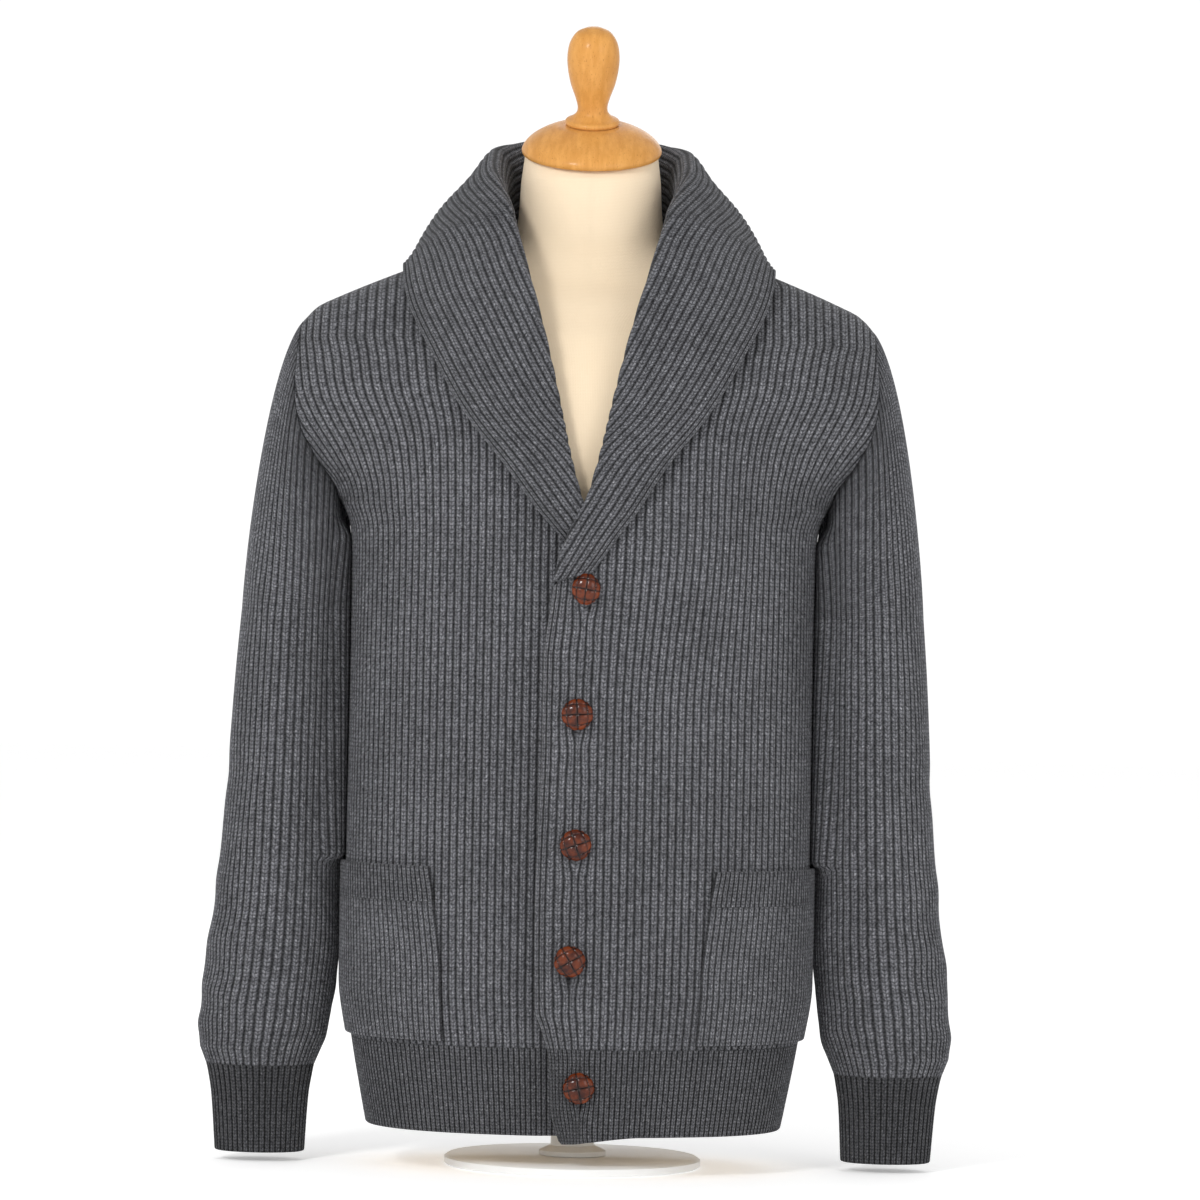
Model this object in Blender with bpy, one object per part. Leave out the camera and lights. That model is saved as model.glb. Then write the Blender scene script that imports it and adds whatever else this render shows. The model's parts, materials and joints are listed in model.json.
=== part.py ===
"""Shawl collar cardigan on a limbless dress form, in metres, with +Z up and the front facing -Y.

Sizes are in millimetres and become metres when a mesh is made. +X is the wearer's left.
"""

import math

import bpy
import numpy as np

MM = 0.001

# Knitting: the ribs stand on a plain inside.
RIB_PITCH = 6.8
SLEEVE_RIB_PITCH = 7.4
HEM_RIB_PITCH = 5.4
CUFF_RIB_PITCH = 5.2
POCKET_RIB_PITCH = 5.6
BAND_RIB_PITCH = 5.4
WALL = 4.0
RIB_DEPTH = 1.3
FINE_RIB_DEPTH = 0.7
SEAM_GAP = 0.4
PATCH_GAP = 0.8
ARMHOLE_GAP = 1.2
INNER_SEAM_GAP = 2.2
INNER_SPACING = 34.0
UNDERARM_COLUMNS = 10.0
SEAM_REACH = 12.0

# Body.
SIDE_COLUMN = 250.0
OVERLAP = 30.0
HEM_SEAM = 99.0
HEM_EDGE = 32.0
UNDERARM = 495.0
BODY_TURN = 430.0
FAN_START = 480.0
COLUMNS_STRAIGHT_FROM = 640.0
SHOULDER_TIP = 655.0
NECK_HALF_WIDTH = 74.0
NECK_HEIGHT = 722.0

# The left front lies over the right one, and higher where the collar's right end passes under it.
LIFT_OVERLAP = 5.4
LIFT_CROSSING = 10.5


def table(columns, *rows):
    return {name: np.array([row[i] for row in rows], float) for i, name in enumerate(columns)}


BODY = table(
    ("height", "half_width", "front", "back", "centre", "squareness"),
    (20, 159, 110, 106, 0, 2.5),
    (50, 165, 112, 108, 0, 2.5),
    (99, 174, 116, 112, 0, 2.5),
    (145, 180.5, 120, 115, 0, 2.5),
    (250, 181, 123, 114, 0, 2.5),
    (380, 180.5, 124, 113, 0, 2.5),
    (480, 181, 126, 118, 0, 2.4),
    (495, 182.3, 126, 119, 0, 2.4),
    (527, 199, 125, 121, 0, 2.4),
    (548, 222, 124, 121, 1, 2.4),
    (575, 245, 122, 120, 2, 2.4),
    (600, 248, 119, 117, 3, 2.4),
    (625, 239.5, 112, 111, 4, 2.3),
    (640, 231, 106, 106, 5, 2.2),
    (655, 222, 98, 100, 6, 2.1),
    (666, 211, 92, 94, 6, 2.0),
    (674, 195, 88, 90, 6, 2.0),
    (697, 140, 74, 78, 6, 2.0),
    (722, 74, 58, 64, 6, 2.0),
)

ARMHOLE = table(
    ("height", "across", "columns_ended"),
    (495, 182.3, 0),
    (498, 183.6, 7),
    (507, 187.3, 15),
    (527, 194, 24.5),
    (548, 208, 33),
    (575, 221, 42),
    (600, 225, 48),
    (625, 224.5, 52),
    (640, 224, 54),
    (655, 222, 56),
)

FREE_EDGE = table(
    ("height", "across"),
    (24, 10),
    (51, 18),
    (90, 20),
    (110, 24),
    (129, 31),
    (207, 32),
    (336, 29),
    (395, 29),
    (426, 26),
    (457, 21),
    (478, 15),
    (500, 8),
)

NECK_SEAM = table(
    ("column", "height"),
    (-30, 450),
    (-16, 460),
    (0, 474),
    (12, 490),
    (27, 520),
    (44, 560),
    (57, 600),
    (66, 650),
    (71, 700),
    (74, 720),
)

SLEEVE = table(
    ("height", "centre", "half_width", "half_depth"),
    (7, 244, 35, 25),
    (51, 244.5, 38, 27),
    (67, 244.6, 40.5, 30),
    (76, 244.8, 42.5, 33),
    (83, 245, 46, 36),
    (98, 243, 49, 40),
    (130, 239.5, 51, 42),
    (161, 236, 51.3, 45),
    (207, 233, 48.5, 50),
    (285, 230, 45.3, 58),
    (379, 227.2, 42.6, 66),
    (440, 224.8, 40, 71),
    (480, 223, 38.5, 74),
)
CUFF_SEAM = 75.0
CUFF_EDGE = 7.0
CUFF_TURN = 51.0
CUFF_WALL = 3.4
CAP_INSIDE = (205.0, 0.0, 518.0)
ARMHOLE_CENTRE = 578.0

COLLAR = table(
    ("along", "edge_x", "edge_y", "edge_z", "roll_x", "roll_y", "roll_z", "bulge", "fold"),
    (0.00, -2, -142.5, 461, -21, -138.5, 455, 0, 2.6),
    (0.06, 18, -142, 489, -10, -140.5, 488, 1, 2.7),
    (0.12, 36, -140, 509, 3, -138.5, 513, 2, 2.8),
    (0.20, 62, -129, 543, 14, -131, 550, 3, 3.0),
    (0.30, 95, -120, 585, 23, -126, 590, 5, 3.2),
    (0.40, 120, -103, 629, 35, -117, 640, 7, 3.6),
    (0.50, 137, -74, 664, 50, -98, 692, 9, 4.2),
    (0.55, 142.5, -51.5, 684, 57, -83, 715, 9, 4.8),
    (0.59, 144, -19, 697.5, 64, -66, 738, 10, 5.5),
    (0.68, 140, 38, 700, 76, -22, 768, 9, 7.0),
    (0.78, 112, 76, 694, 76, 26, 786, 6, 8.0),
    (0.89, 62, 104, 690, 46, 66, 797, 4, 8.0),
    (1.00, 0, 114, 688, 0, 80, 801, 3, 8.0),
)
COLLAR_LEFT_START = 0.0
COLLAR_RIGHT_START = 0.035
COLLAR_UNDER = 7.6
COLLAR_UNDER_TIP = 11.8
COLLAR_FALL_RIBS = 13
COLLAR_FOLD_RIBS = 3
COLLAR_WALL = 4.2
COLLAR_ROWS = 13
COLLAR_SEAM_GAP = 1.3
NECK_CENTRE = 6.0
NECK_BACK = 70.0

POCKET = table(
    ("height", "inner_left", "inner_right"),
    (103, 97, 105),
    (150, 97, 104),
    (209, 102, 110),
)
POCKET_OUTER_COLUMN = 238.0
POCKET_TOP = 209.0
BAND_TOP = 236.0
BAND_TAPER = 3.0
PATCH_WALL = 3.4
POCKET_RIB_DEPTH = 1.0

BUTTONS = table(
    ("across", "height"),
    (2.6, 449),
    (-2.2, 354),
    (-1.5, 255),
    (-4.3, 166.5),
    (4.2, 70),
)
BUTTON_RADIUS = 12.0
BUTTON_HEIGHT = 8.5
SHANK_RADIUS = 1.3
SHANK_GAP = 0.6
SLIT_LENGTH = 19.0
SLIT_WIDTH = 3.2
SLIT_BELOW = 6.0

# Dress form.
FORM = table(
    ("height", "half_width", "front", "back", "centre", "squareness"),
    (46, 156, 102, 98, 0, 2.3),
    (99, 162, 106, 102, 0, 2.3),
    (150, 168, 110, 106, 0, 2.3),
    (300, 168, 112, 103, 0, 2.3),
    (440, 170, 114, 106, 0, 2.3),
    (500, 173, 117, 111, 0, 2.3),
    (560, 184, 114, 111, 1, 2.3),
    (610, 199, 106, 106, 3, 2.3),
    (640, 202, 95, 97, 5, 2.2),
    (657, 193, 84, 89, 6, 2.1),
    (670, 173, 75, 82, 6, 2.0),
    (690, 121, 58, 67, 6, 2.0),
    (706, 77, 53, 55, 5, 2.0),
    (720, 60, 52, 50, 3, 2.0),
    (740, 56, 50, 50, 0, 2.0),
    (766, 54.5, 50, 50, -1, 2.0),
)
CAP_CENTRE = (0.0, -2.0, 788.0)
CAP_TILT = math.radians(19.0)
CAP = table(
    ("radius", "along"),
    (0, 0),
    (50, 0),
    (53.5, 0.8),
    (54.6, 3.2),
    (53.8, 6),
    (49, 12),
    (40, 18),
    (29, 22.5),
    (21.5, 24),
    (0, 24),
)
FINIAL = table(
    ("radius", "along"),
    (0, 24.4),
    (20.4, 24.4),
    (21.2, 26),
    (20.6, 28),
    (16, 30.4),
    (12.4, 34),
    (11.6, 38),
    (13.2, 45),
    (17.4, 57),
    (19.9, 70),
    (20.2, 80),
    (18.2, 90),
    (13, 97.6),
    (6, 101),
    (0, 101.8),
)
POST = table(("radius", "along"), (0, 8.4), (26, 8.4), (26, 12), (17, 16), (17, 45.6), (0, 45.6))
BASE = table(("radius", "along"), (0, 0), (98, 0), (100, 1.5), (100, 6), (97, 8), (0, 8))


def smooth(at, xs, ys):
    """Monotone cubic through the rows of a table, held flat in slope only at a turning point."""
    at = np.asarray(at, float)
    steps = np.diff(xs)
    slopes = np.diff(ys) / steps
    tangents = np.zeros(len(xs))
    same = slopes[:-1] * slopes[1:] > 0
    inner = np.zeros(len(slopes) - 1)
    first, second = slopes[:-1][same], slopes[1:][same]
    inner[same] = 2 * first * second / (first + second)
    tangents[1:-1] = inner
    tangents[0], tangents[-1] = slopes[0], slopes[-1]
    at = np.clip(at, xs[0], xs[-1])
    i = np.clip(np.searchsorted(xs, at, side="right") - 1, 0, len(xs) - 2)
    h = steps[i]
    t = (at - xs[i]) / h
    rise = (1 - t) ** 2 * (1 + 2 * t) * ys[i] + t * t * (3 - 2 * t) * ys[i + 1]
    return rise + h * t * (1 - t) * ((1 - t) * tangents[i] - t * tangents[i + 1])


def look_up(rows, name, at, by="height"):
    return smooth(at, rows[by], rows[name])


def ease(at, start, end):
    t = np.clip((np.asarray(at, float) - start) / (end - start), 0, 1)
    return t * t * (3 - 2 * t)


def unit(vectors):
    return vectors / np.maximum(np.linalg.norm(vectors, axis=-1, keepdims=True), 1e-9)


# ---- Body surface: a superellipse at each height, met by columns of knitting.


def section_depth(across, height, depth_name, rows=BODY):
    """Distance from the centre line to the front or back of the section, at a distance across it."""
    half = look_up(rows, "half_width", height)
    power = look_up(rows, "squareness", height)
    share = np.clip(np.abs(across) / half, 0, 1)
    return look_up(rows, depth_name, height) * (1 - share**power) ** (1 / power)


def section_at_arc(arc, height, depth_name):
    """(across, depth) at an arc length from the middle of the front or back, as flat arrays."""
    angles = np.linspace(0, math.pi / 2, 181)[None, :]
    power = 2 / look_up(BODY, "squareness", height)[:, None]
    across = look_up(BODY, "half_width", height)[:, None] * np.sin(angles) ** power
    depth = look_up(BODY, depth_name, height)[:, None] * np.cos(angles) ** power
    steps = np.hypot(np.diff(across, axis=1), np.diff(depth, axis=1))
    length = np.concatenate([np.zeros((len(steps), 1)), np.cumsum(steps, axis=1)], axis=1)
    arc = np.clip(arc, 0, length[:, -1])
    i = np.clip((length < arc[:, None]).sum(axis=1) - 1, 0, length.shape[1] - 2)
    row = np.arange(len(arc))
    t = (arc - length[row, i]) / np.maximum(length[row, i + 1] - length[row, i], 1e-9)
    mix = lambda a: a[row, i] * (1 - t) + a[row, i + 1] * t
    return mix(across), mix(depth)


def arc_to(across, height, depth_name):
    """Arc length from the middle to a distance across, at each of a few heights."""
    found = []
    for reach, level in zip(across, height):
        xs = reach * (1 - np.linspace(1, 0, 241) ** 2)
        ys = section_depth(xs, level, depth_name)
        found.append(np.hypot(np.diff(xs), np.diff(ys)).sum())
    return np.array(found)


def stretch_rows(depth_name):
    """At each height, the last column left and the arc length where it meets the side or armhole."""
    heights = np.concatenate([np.arange(20, 480, 20), np.arange(480, 641, 8)]).astype(float)
    edge = np.where(heights < UNDERARM, look_up(BODY, "half_width", heights), look_up(ARMHOLE, "across", heights))
    ended = np.where(heights < UNDERARM, 0, look_up(ARMHOLE, "columns_ended", heights))
    return {"height": heights, "column": SIDE_COLUMN - ended, "arc": arc_to(edge, heights, depth_name)}


STRETCH = {name: stretch_rows(name) for name in ("front", "back")}


def body_point(column, height, depth_name):
    """A point of the body's outer surface: across, -Y for the front or +Y for the back, and height."""
    column, height = np.broadcast_arrays(np.asarray(column, float), np.asarray(height, float))
    shape = column.shape
    column, height = column.ravel(), height.ravel()
    level = np.minimum(height, COLUMNS_STRAIGHT_FROM)
    rows = STRETCH[depth_name]
    last = np.interp(level, rows["height"], rows["column"])
    arc = np.interp(level, rows["height"], rows["arc"])
    base = np.interp(np.minimum(level, FAN_START), rows["height"], rows["arc"]) / SIDE_COLUMN
    reach = np.abs(column)
    target = reach * base + (arc - last * base) * (reach / last) ** 2
    across, depth = section_at_arc(target, level, depth_name)
    high = height > COLUMNS_STRAIGHT_FROM
    across = np.where(high, np.minimum(across, look_up(BODY, "half_width", height)), across)
    depth = np.where(high, section_depth(across, height, depth_name), depth)
    sign = -1 if depth_name == "front" else 1
    y = look_up(BODY, "centre", height) + sign * depth
    return np.stack([np.sign(column) * across, y, height], axis=-1).reshape(shape + (3,))


def shoulder_height(across):
    rows = BODY["height"] >= SHOULDER_TIP
    widths = BODY["half_width"][rows][::-1]
    return smooth(across, widths, BODY["height"][rows][::-1])


def column_top(column, depth_name):
    """Height where each column ends: at the neck, the shoulder seam or the armhole."""
    reach = np.abs(column)
    ended = np.clip(SIDE_COLUMN - reach, 0, None)
    armhole = np.interp(ended, ARMHOLE["columns_ended"], ARMHOLE["height"])
    across = body_point(reach, COLUMNS_STRAIGHT_FROM + 0 * reach, depth_name)[..., 0]
    top = np.where(ended < ARMHOLE["columns_ended"][-1], armhole, shoulder_height(across))
    if depth_name == "back":
        return np.where(across < NECK_HALF_WIDTH, NECK_HEIGHT, top)
    return np.where(column < NECK_SEAM["column"][-1], look_up(NECK_SEAM, "height", column, "column"), top)


def free_edge_shift(column, height, side):
    """Columns near the left front's free edge follow its soft waves."""
    if side < 0:
        return column
    near = np.clip((25 - column) / (25 + OVERLAP), 0, 1) ** 2
    return column + (OVERLAP - look_up(FREE_EDGE, "across", height)) * near


def lift(across, height):
    """How far the left front stands out over the right one."""
    low = LIFT_OVERLAP + (LIFT_CROSSING - LIFT_OVERLAP) * ease(height, 425, 458)
    return low * (1 - ease(height, 497, 560)) * (1 - ease(across, 38, 98))


def front_point(column, height, side):
    """side is +1 for the wearer's left front and -1 for the right."""
    point = body_point(free_edge_shift(column, height, side), height, "front")
    if side > 0:
        point[..., 1] -= lift(point[..., 0], point[..., 2])
    point[..., 0] *= side
    return point


def back_point(column, height):
    return body_point(column, height, "back")


def normals_of(surface, first, second, outward):
    """Unit normals of a surface of two parameters, from small steps either way."""
    step = 0.4
    du = surface(first + step, second) - surface(first - step, second)
    dv = surface(first, second + step) - surface(first, second - step)
    normal = unit(np.cross(du, dv))
    flip = np.where((normal * outward).sum(axis=-1, keepdims=True) < 0, -1, 1)
    return normal * flip


def rib_wave(count):
    """0 at a crest and 1 at a valley, two columns a rib, ending in a valley at both edges."""
    return (np.arange(count) % 2 == 0).astype(float)


def rib_columns(start, end, pitch):
    ribs = max(2, round((end - start) / pitch))
    return np.linspace(start, end, 2 * ribs + 1)


def some_of(count, about):
    """A few of the column numbers, with the first and the last."""
    return np.unique(np.round(np.linspace(0, count - 1, max(2, about))).astype(int))


def places_along(rows, spacing):
    """Column numbers no further apart than a spacing, measured on the longest of a grid's edges."""
    steps = np.linalg.norm(np.diff(rows, axis=1), axis=-1).max(axis=0)
    kept = [0]
    run = 0.0
    for i, step in enumerate(steps):
        if run + step > spacing and kept[-1] != i:
            kept.append(i)
            run = 0.0
        run += step
    return np.array(kept + [len(steps)])


# ---- Meshes.


def add_mesh(name, points, faces, material, crease=40):
    mesh = bpy.data.meshes.new(name)
    mesh.from_pydata([tuple(p) for p in np.asarray(points) * MM], [], faces)
    mesh.update()
    mesh.shade_smooth()
    mesh.set_sharp_from_angle(angle=math.radians(crease))
    item = bpy.data.objects.new(name, mesh)
    item.data.materials.append(material)
    bpy.context.collection.objects.link(item)
    return item


def quads(index):
    """Faces of a grid of point numbers, turned to face along its columns crossed with its rows."""
    a, b, c, d = index[:-1, :-1], index[:-1, 1:], index[1:, 1:], index[1:, :-1]
    return [tuple(face) for face in np.stack([a, b, c, d], axis=-1).reshape(-1, 4)]


def zip_strip(fine, coarse, places):
    """Triangles between a fine row of points and the same row at a few of its places."""
    faces = []
    for k in range(len(coarse) - 1):
        low, high = places[k], places[k + 1]
        middle = (low + high) // 2
        for i in range(low, high):
            faces.append((fine[i + 1], fine[i], coarse[k] if i < middle else coarse[k + 1]))
        faces.append((coarse[k], coarse[k + 1], fine[middle]))
    return faces


def wall(name, outer, inner, places, material, closed=False):
    """A closed wall between a ribbed outer grid and a plain inner one that keeps a few of its columns."""
    rows = len(outer)
    outer_index = np.arange(rows * outer.shape[1]).reshape(rows, -1)
    inner_index = outer_index.size + np.arange(rows * inner.shape[1]).reshape(rows, -1)
    if closed:
        outer_index = np.hstack([outer_index, outer_index[:, :1]])
        inner_index = np.hstack([inner_index, inner_index[:, :1]])
        places = np.append(places, outer_index.shape[1] - 1)
    faces = quads(outer_index) + quads(inner_index[:, ::-1])
    faces += zip_strip(outer_index[0], inner_index[0], places)
    top = zip_strip(outer_index[-1], inner_index[-1], places)
    faces += [face[::-1] for face in top]
    if not closed:
        left = np.stack([outer_index[:, 0], inner_index[:, 0]])
        right = np.stack([outer_index[:, -1], inner_index[:, -1]])
        faces += quads(left.T[:, ::-1]) + quads(right.T)
    points = np.vstack([outer.reshape(-1, 3), inner.reshape(-1, 3)])
    return add_mesh(name, points, faces, material)


def lathe(name, profile, segments, place, material):
    """A turned solid: place takes points about a vertical axis to where they belong."""
    radius, along = profile["radius"], profile["along"]
    angles = np.linspace(0, 2 * math.pi, segments, endpoint=False)
    points = [(0, 0, along[0])]
    for r, z in zip(radius[1:-1], along[1:-1]):
        points += [(r * math.cos(a), r * math.sin(a), z) for a in angles]
    points.append((0, 0, along[-1]))
    rings = 1 + np.arange((len(radius) - 2) * segments).reshape(-1, segments)
    rings = np.hstack([rings, rings[:, :1]])
    faces = quads(rings)
    faces += [(0, rings[0, i + 1], rings[0, i]) for i in range(segments)]
    faces += [(len(points) - 1, rings[-1, i], rings[-1, i + 1]) for i in range(segments)]
    return add_mesh(name, place(np.array(points)), faces, material, crease=30)


# ---- Fronts and back.


def panel_rows(column, depth_name):
    """Heights of a panel's rows, straight at first and then shared out up to each column's top."""
    top = column_top(column, depth_name)
    low = np.array([HEM_SEAM + SEAM_GAP / 2, 150, BODY_TURN])[:, None] + 0 * column[None, :]
    share = np.array([0.4, 0.74, 0.93, 1.0])[:, None]
    return np.vstack([low, BODY_TURN + share * (top[None, :] - BODY_TURN)])


def armhole_rim(points):
    """Direction from the inside to the outside of the cloth at the armhole seam."""
    y, z = points[..., 1], points[..., 2] - ARMHOLE_CENTRE
    radial = unit(np.stack([0 * y, y, z], axis=-1))
    radial[..., 0] = 0.45 * (1 + radial[..., 2]) * np.sign(points[..., 0])
    return unit(radial)


def panel(name, columns, surface, depth_name, outward, material):
    heights = panel_rows(columns, depth_name)
    grid = columns[None, :] + 0 * heights
    base = surface(grid, heights)
    normal = normals_of(surface, grid, heights, outward(base))
    top = heights >= heights[-1]
    ended = (np.abs(grid) > SIDE_COLUMN - ARMHOLE["columns_ended"][-1]) & top
    normal = np.where(ended[..., None], armhole_rim(base), normal)
    across = np.abs(base[..., 0])
    beside = np.abs(base[..., 1] - look_up(BODY, "centre", heights))
    on_shoulder = top & ~ended & (beside < SEAM_REACH)
    fall = shoulder_height(across - 1) - shoulder_height(across + 1)
    upward = unit(np.stack([np.sign(base[..., 0]) * fall / 2, 0 * fall, 1 + 0 * fall], axis=-1))
    normal = np.where(on_shoulder[..., None], upward, normal)
    wave = rib_wave(len(columns)) * RIB_DEPTH
    fade = np.ones((len(heights), 1))
    fade[-1] = 0
    outer = base - normal * (wave[None, :] * fade)[..., None]
    at_underarm = np.flatnonzero(np.abs(columns) > SIDE_COLUMN - UNDERARM_COLUMNS)
    places = np.union1d(places_along(base[-2:], INNER_SPACING), at_underarm)
    inner = (base - normal * WALL)[:, places]
    sign = -1 if depth_name == "front" else 1
    centre = look_up(BODY, "centre", heights)
    for points, level, seam in ((outer, centre, on_shoulder), (inner, centre[:, places], on_shoulder[:, places])):
        near = (sign * (points[..., 1] - level) < SEAM_GAP / 2) | seam
        points[..., 1] = np.where(near, level + sign * SEAM_GAP / 2, points[..., 1])
    return wall(name, outer, inner, places, material)


def build_fronts_and_back(material):
    columns = rib_columns(-OVERLAP, SIDE_COLUMN, RIB_PITCH)
    facing = lambda base: np.stack([base[..., 0] * 0.6, base[..., 1], 0 * base[..., 0]], axis=-1)
    panel("front_left", columns, lambda u, z: front_point(u, z, 1), "front", facing, material)
    mirrored = lambda u, z: front_point(u, z, -1)
    item = panel("front_right", columns, mirrored, "front", facing, material)
    item.data.flip_normals()
    whole = rib_columns(-SIDE_COLUMN, SIDE_COLUMN, RIB_PITCH)[::-1]
    panel("back", whole, back_point, "back", facing, material)


# ---- Hem bands.


def hem_band(name, columns, surface, outward, material):
    heights = np.array([HEM_EDGE, HEM_SEAM - SEAM_GAP / 2])[:, None] + 0 * columns[None, :]
    grid = columns[None, :] + 0 * heights
    base = surface(grid, heights)
    normal = normals_of(surface, grid, heights, outward(base))
    outer = base - normal * (rib_wave(len(columns)) * FINE_RIB_DEPTH)[None, :, None]
    places = some_of(len(columns), 1 + len(columns) // 12)
    inner = (base - normal * WALL)[:, places]
    sign = np.sign(base[0, len(columns) // 2, 1])
    for points in (outer, inner):
        points[..., 1] = np.where(sign * points[..., 1] < SEAM_GAP / 2, sign * SEAM_GAP / 2, points[..., 1])
    return wall(name, outer, inner, places, material)


def build_hem(material):
    columns = rib_columns(-OVERLAP, SIDE_COLUMN, HEM_RIB_PITCH)
    facing = lambda base: base * (1, 1, 0)
    hem_band("hem_front_left", columns, lambda u, z: front_point(u, z, 1), facing, material)
    item = hem_band("hem_front_right", columns, lambda u, z: front_point(u, z, -1), facing, material)
    item.data.flip_normals()
    whole = rib_columns(-SIDE_COLUMN, SIDE_COLUMN, HEM_RIB_PITCH)[::-1]
    hem_band("hem_back", whole, back_point, facing, material)


# ---- Sleeves and cuffs.


def sleeve_section(turn, height):
    """A point round the sleeve: turn 0 faces the body, and a quarter turn faces the front."""
    centre = look_up(SLEEVE, "centre", height)
    x = centre - look_up(SLEEVE, "half_width", height) * np.cos(turn)
    y = -look_up(SLEEVE, "half_depth", height) * np.sin(turn)
    return np.stack(np.broadcast_arrays(x, y, height), axis=-1)


def even_turns(height, pitch, ribs_shared):
    """Turns that share the sleeve's girth out evenly at a height, two to a rib."""
    turns = np.linspace(0, 2 * math.pi, 721)
    points = sleeve_section(turns, np.full(721, float(height)))
    length = np.concatenate([[0], np.cumsum(np.linalg.norm(np.diff(points, axis=0), axis=1))])
    ribs = ribs_shared * round(length[-1] / pitch / ribs_shared)
    return np.interp(np.linspace(0, length[-1], 2 * ribs, endpoint=False), length, turns)


def armhole_half(depth_name):
    """Outer seam points from the underarm up to the shoulder tip, at the panel's own column tops."""
    start = -OVERLAP if depth_name == "front" else -SIDE_COLUMN
    columns = rib_columns(start, SIDE_COLUMN, RIB_PITCH)
    columns = columns[columns > SIDE_COLUMN - ARMHOLE["columns_ended"][-1] - RIB_PITCH / 2][::-1]
    points = body_point(columns, column_top(columns, depth_name), depth_name)
    points[-1, 1] = look_up(BODY, "centre", points[-1, 2])
    return points


def along_line(line, shares):
    length = np.concatenate([[0], np.cumsum(np.linalg.norm(np.diff(line, axis=0), axis=1))])
    at = np.asarray(shares) * length[-1]
    return np.stack([np.interp(at, length, line[:, i]) for i in range(3)], axis=-1)


def armhole_loop(turns):
    """Seam point for each turn of the sleeve, by its share of the half girth."""
    share = turns / math.pi
    front = along_line(armhole_half("front"), np.clip(share, 0, 1))
    back = along_line(armhole_half("back"), np.clip(2 - share, 0, 1))
    return np.where((share <= 1)[:, None], front, back)


def sleeve_base(turns, levels, shares):
    """Rows of the sleeve: sections up to BODY_TURN, then curves that sweep up to the armhole."""
    start = sleeve_section(turns, np.full(len(turns), BODY_TURN))
    end = armhole_loop(turns)
    rise = (end - start)[:, 2:3]
    outward = ((1 - np.cos(turns)) / 2)[:, None]
    leave = np.hstack([-0.05 * rise, 0 * rise, rise])
    arrive = np.hstack([-0.3 * rise * outward**2, -0.1 * rise * np.sign(end[:, 1:2]) * (1 - outward), 0.28 * rise])
    rows = [sleeve_section(turns, np.full(len(turns), level)) for level in levels]
    for t in shares:
        here = (1 + 2 * t) * (1 - t) ** 2 * start + t * (1 - t) ** 2 * leave
        rows.append(here + t * t * (3 - 2 * t) * end + t * t * (t - 1) * arrive)
    return np.array(rows)


def ring_normals(rows, centres):
    """Outward unit normals of a ring grid, from its own neighbours."""
    around = np.roll(rows, -1, axis=1) - np.roll(rows, 1, axis=1)
    up = np.gradient(rows, axis=0)
    normal = unit(np.cross(around, up))
    flip = np.where((normal * (rows - centres)).sum(axis=-1, keepdims=True) < 0, -1, 1)
    return normal * flip


def tube(name, rows, normals, wall_thickness, depth, every, side, material, rims=None, away=None):
    wave = rib_wave(rows.shape[1]) * depth
    fade = np.ones((len(rows), 1))
    if rims is not None:
        fade[-1] = 0
    outer = rows - normals * (wave[None, :] * fade)[..., None]
    places = np.arange(0, rows.shape[1], every)
    inner = (rows - normals * wall_thickness)[:, places]
    if rims is not None:
        inner[-1] = (rows[-1] + away * INNER_SEAM_GAP - rims * wall_thickness)[places]
    item_points = (outer * (side, 1, 1), inner * (side, 1, 1))
    item = wall(name, item_points[0], item_points[1], places, material, closed=True)
    if side < 0:
        item.data.flip_normals()
    return item


def build_sleeve(side, name, material):
    turns = even_turns(BODY_TURN, SLEEVE_RIB_PITCH, 2)
    levels = (CUFF_SEAM + SEAM_GAP / 2, 87, 120, BODY_TURN)
    rows = sleeve_base(turns, levels, (0.4, 0.75, 1.0))
    centres = np.zeros_like(rows)
    for i, height in enumerate(levels):
        centres[i] = (look_up(SLEEVE, "centre", height), 0, height)
    centres[len(levels):] = CAP_INSIDE
    normals = ring_normals(rows, centres)
    rims = armhole_rim(rows[-1])
    around = np.roll(rows[-1], -1, axis=0) - np.roll(rows[-1], 1, axis=0)
    away = unit(np.cross(around, rims))
    away = away * np.where(away[:, :1] < 0, -1, 1)
    rows[-1] = rows[-1] + away * ARMHOLE_GAP
    return tube(name, rows, normals, WALL, RIB_DEPTH, 4, side, material, rims, away)


def build_cuff(side, name, material):
    levels = (CUFF_EDGE, CUFF_SEAM - SEAM_GAP / 2)
    turns = even_turns(CUFF_TURN, CUFF_RIB_PITCH, 4)
    rows = np.array([sleeve_section(turns, np.full(len(turns), level)) for level in levels])
    centres = np.array([[look_up(SLEEVE, "centre", level), 0, level] for level in levels])[:, None, :]
    normals = ring_normals(rows, centres + 0 * rows)
    return tube(name, rows, normals, CUFF_WALL, FINE_RIB_DEPTH, 8, side, material)


# ---- Collar.


def collar_anchors(along, side):
    """Edge, roll, seam, bulge and fold radius at places along one half of the collar."""
    edge = np.stack([look_up(COLLAR, name, along, "along") for name in ("edge_x", "edge_y", "edge_z")], axis=-1)
    roll = np.stack([look_up(COLLAR, name, along, "along") for name in ("roll_x", "roll_y", "roll_z")], axis=-1)
    seam = collar_seam(along, side)
    if side < 0:
        drop = COLLAR_UNDER * (1 - ease(along, 0.02, 0.2))
        tip = COLLAR_UNDER_TIP * (1 - ease(along, 0.0, 0.1))
        edge[..., 1] += drop + tip * 0.6
        roll[..., 1] += drop + tip
    return edge, roll, seam


COLLAR_SEAM = table(
    ("along", "column"),
    (0.00, -13.8),
    (0.035, -4.4),
    (0.06, 7.5),
    (0.12, 21.8),
    (0.20, 40),
    (0.30, 54),
    (0.40, 63.0),
    (0.50, 68.4),
    (0.59, 74),
)
COLLAR_AT_SHOULDER = COLLAR_SEAM["along"][-1]


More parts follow.
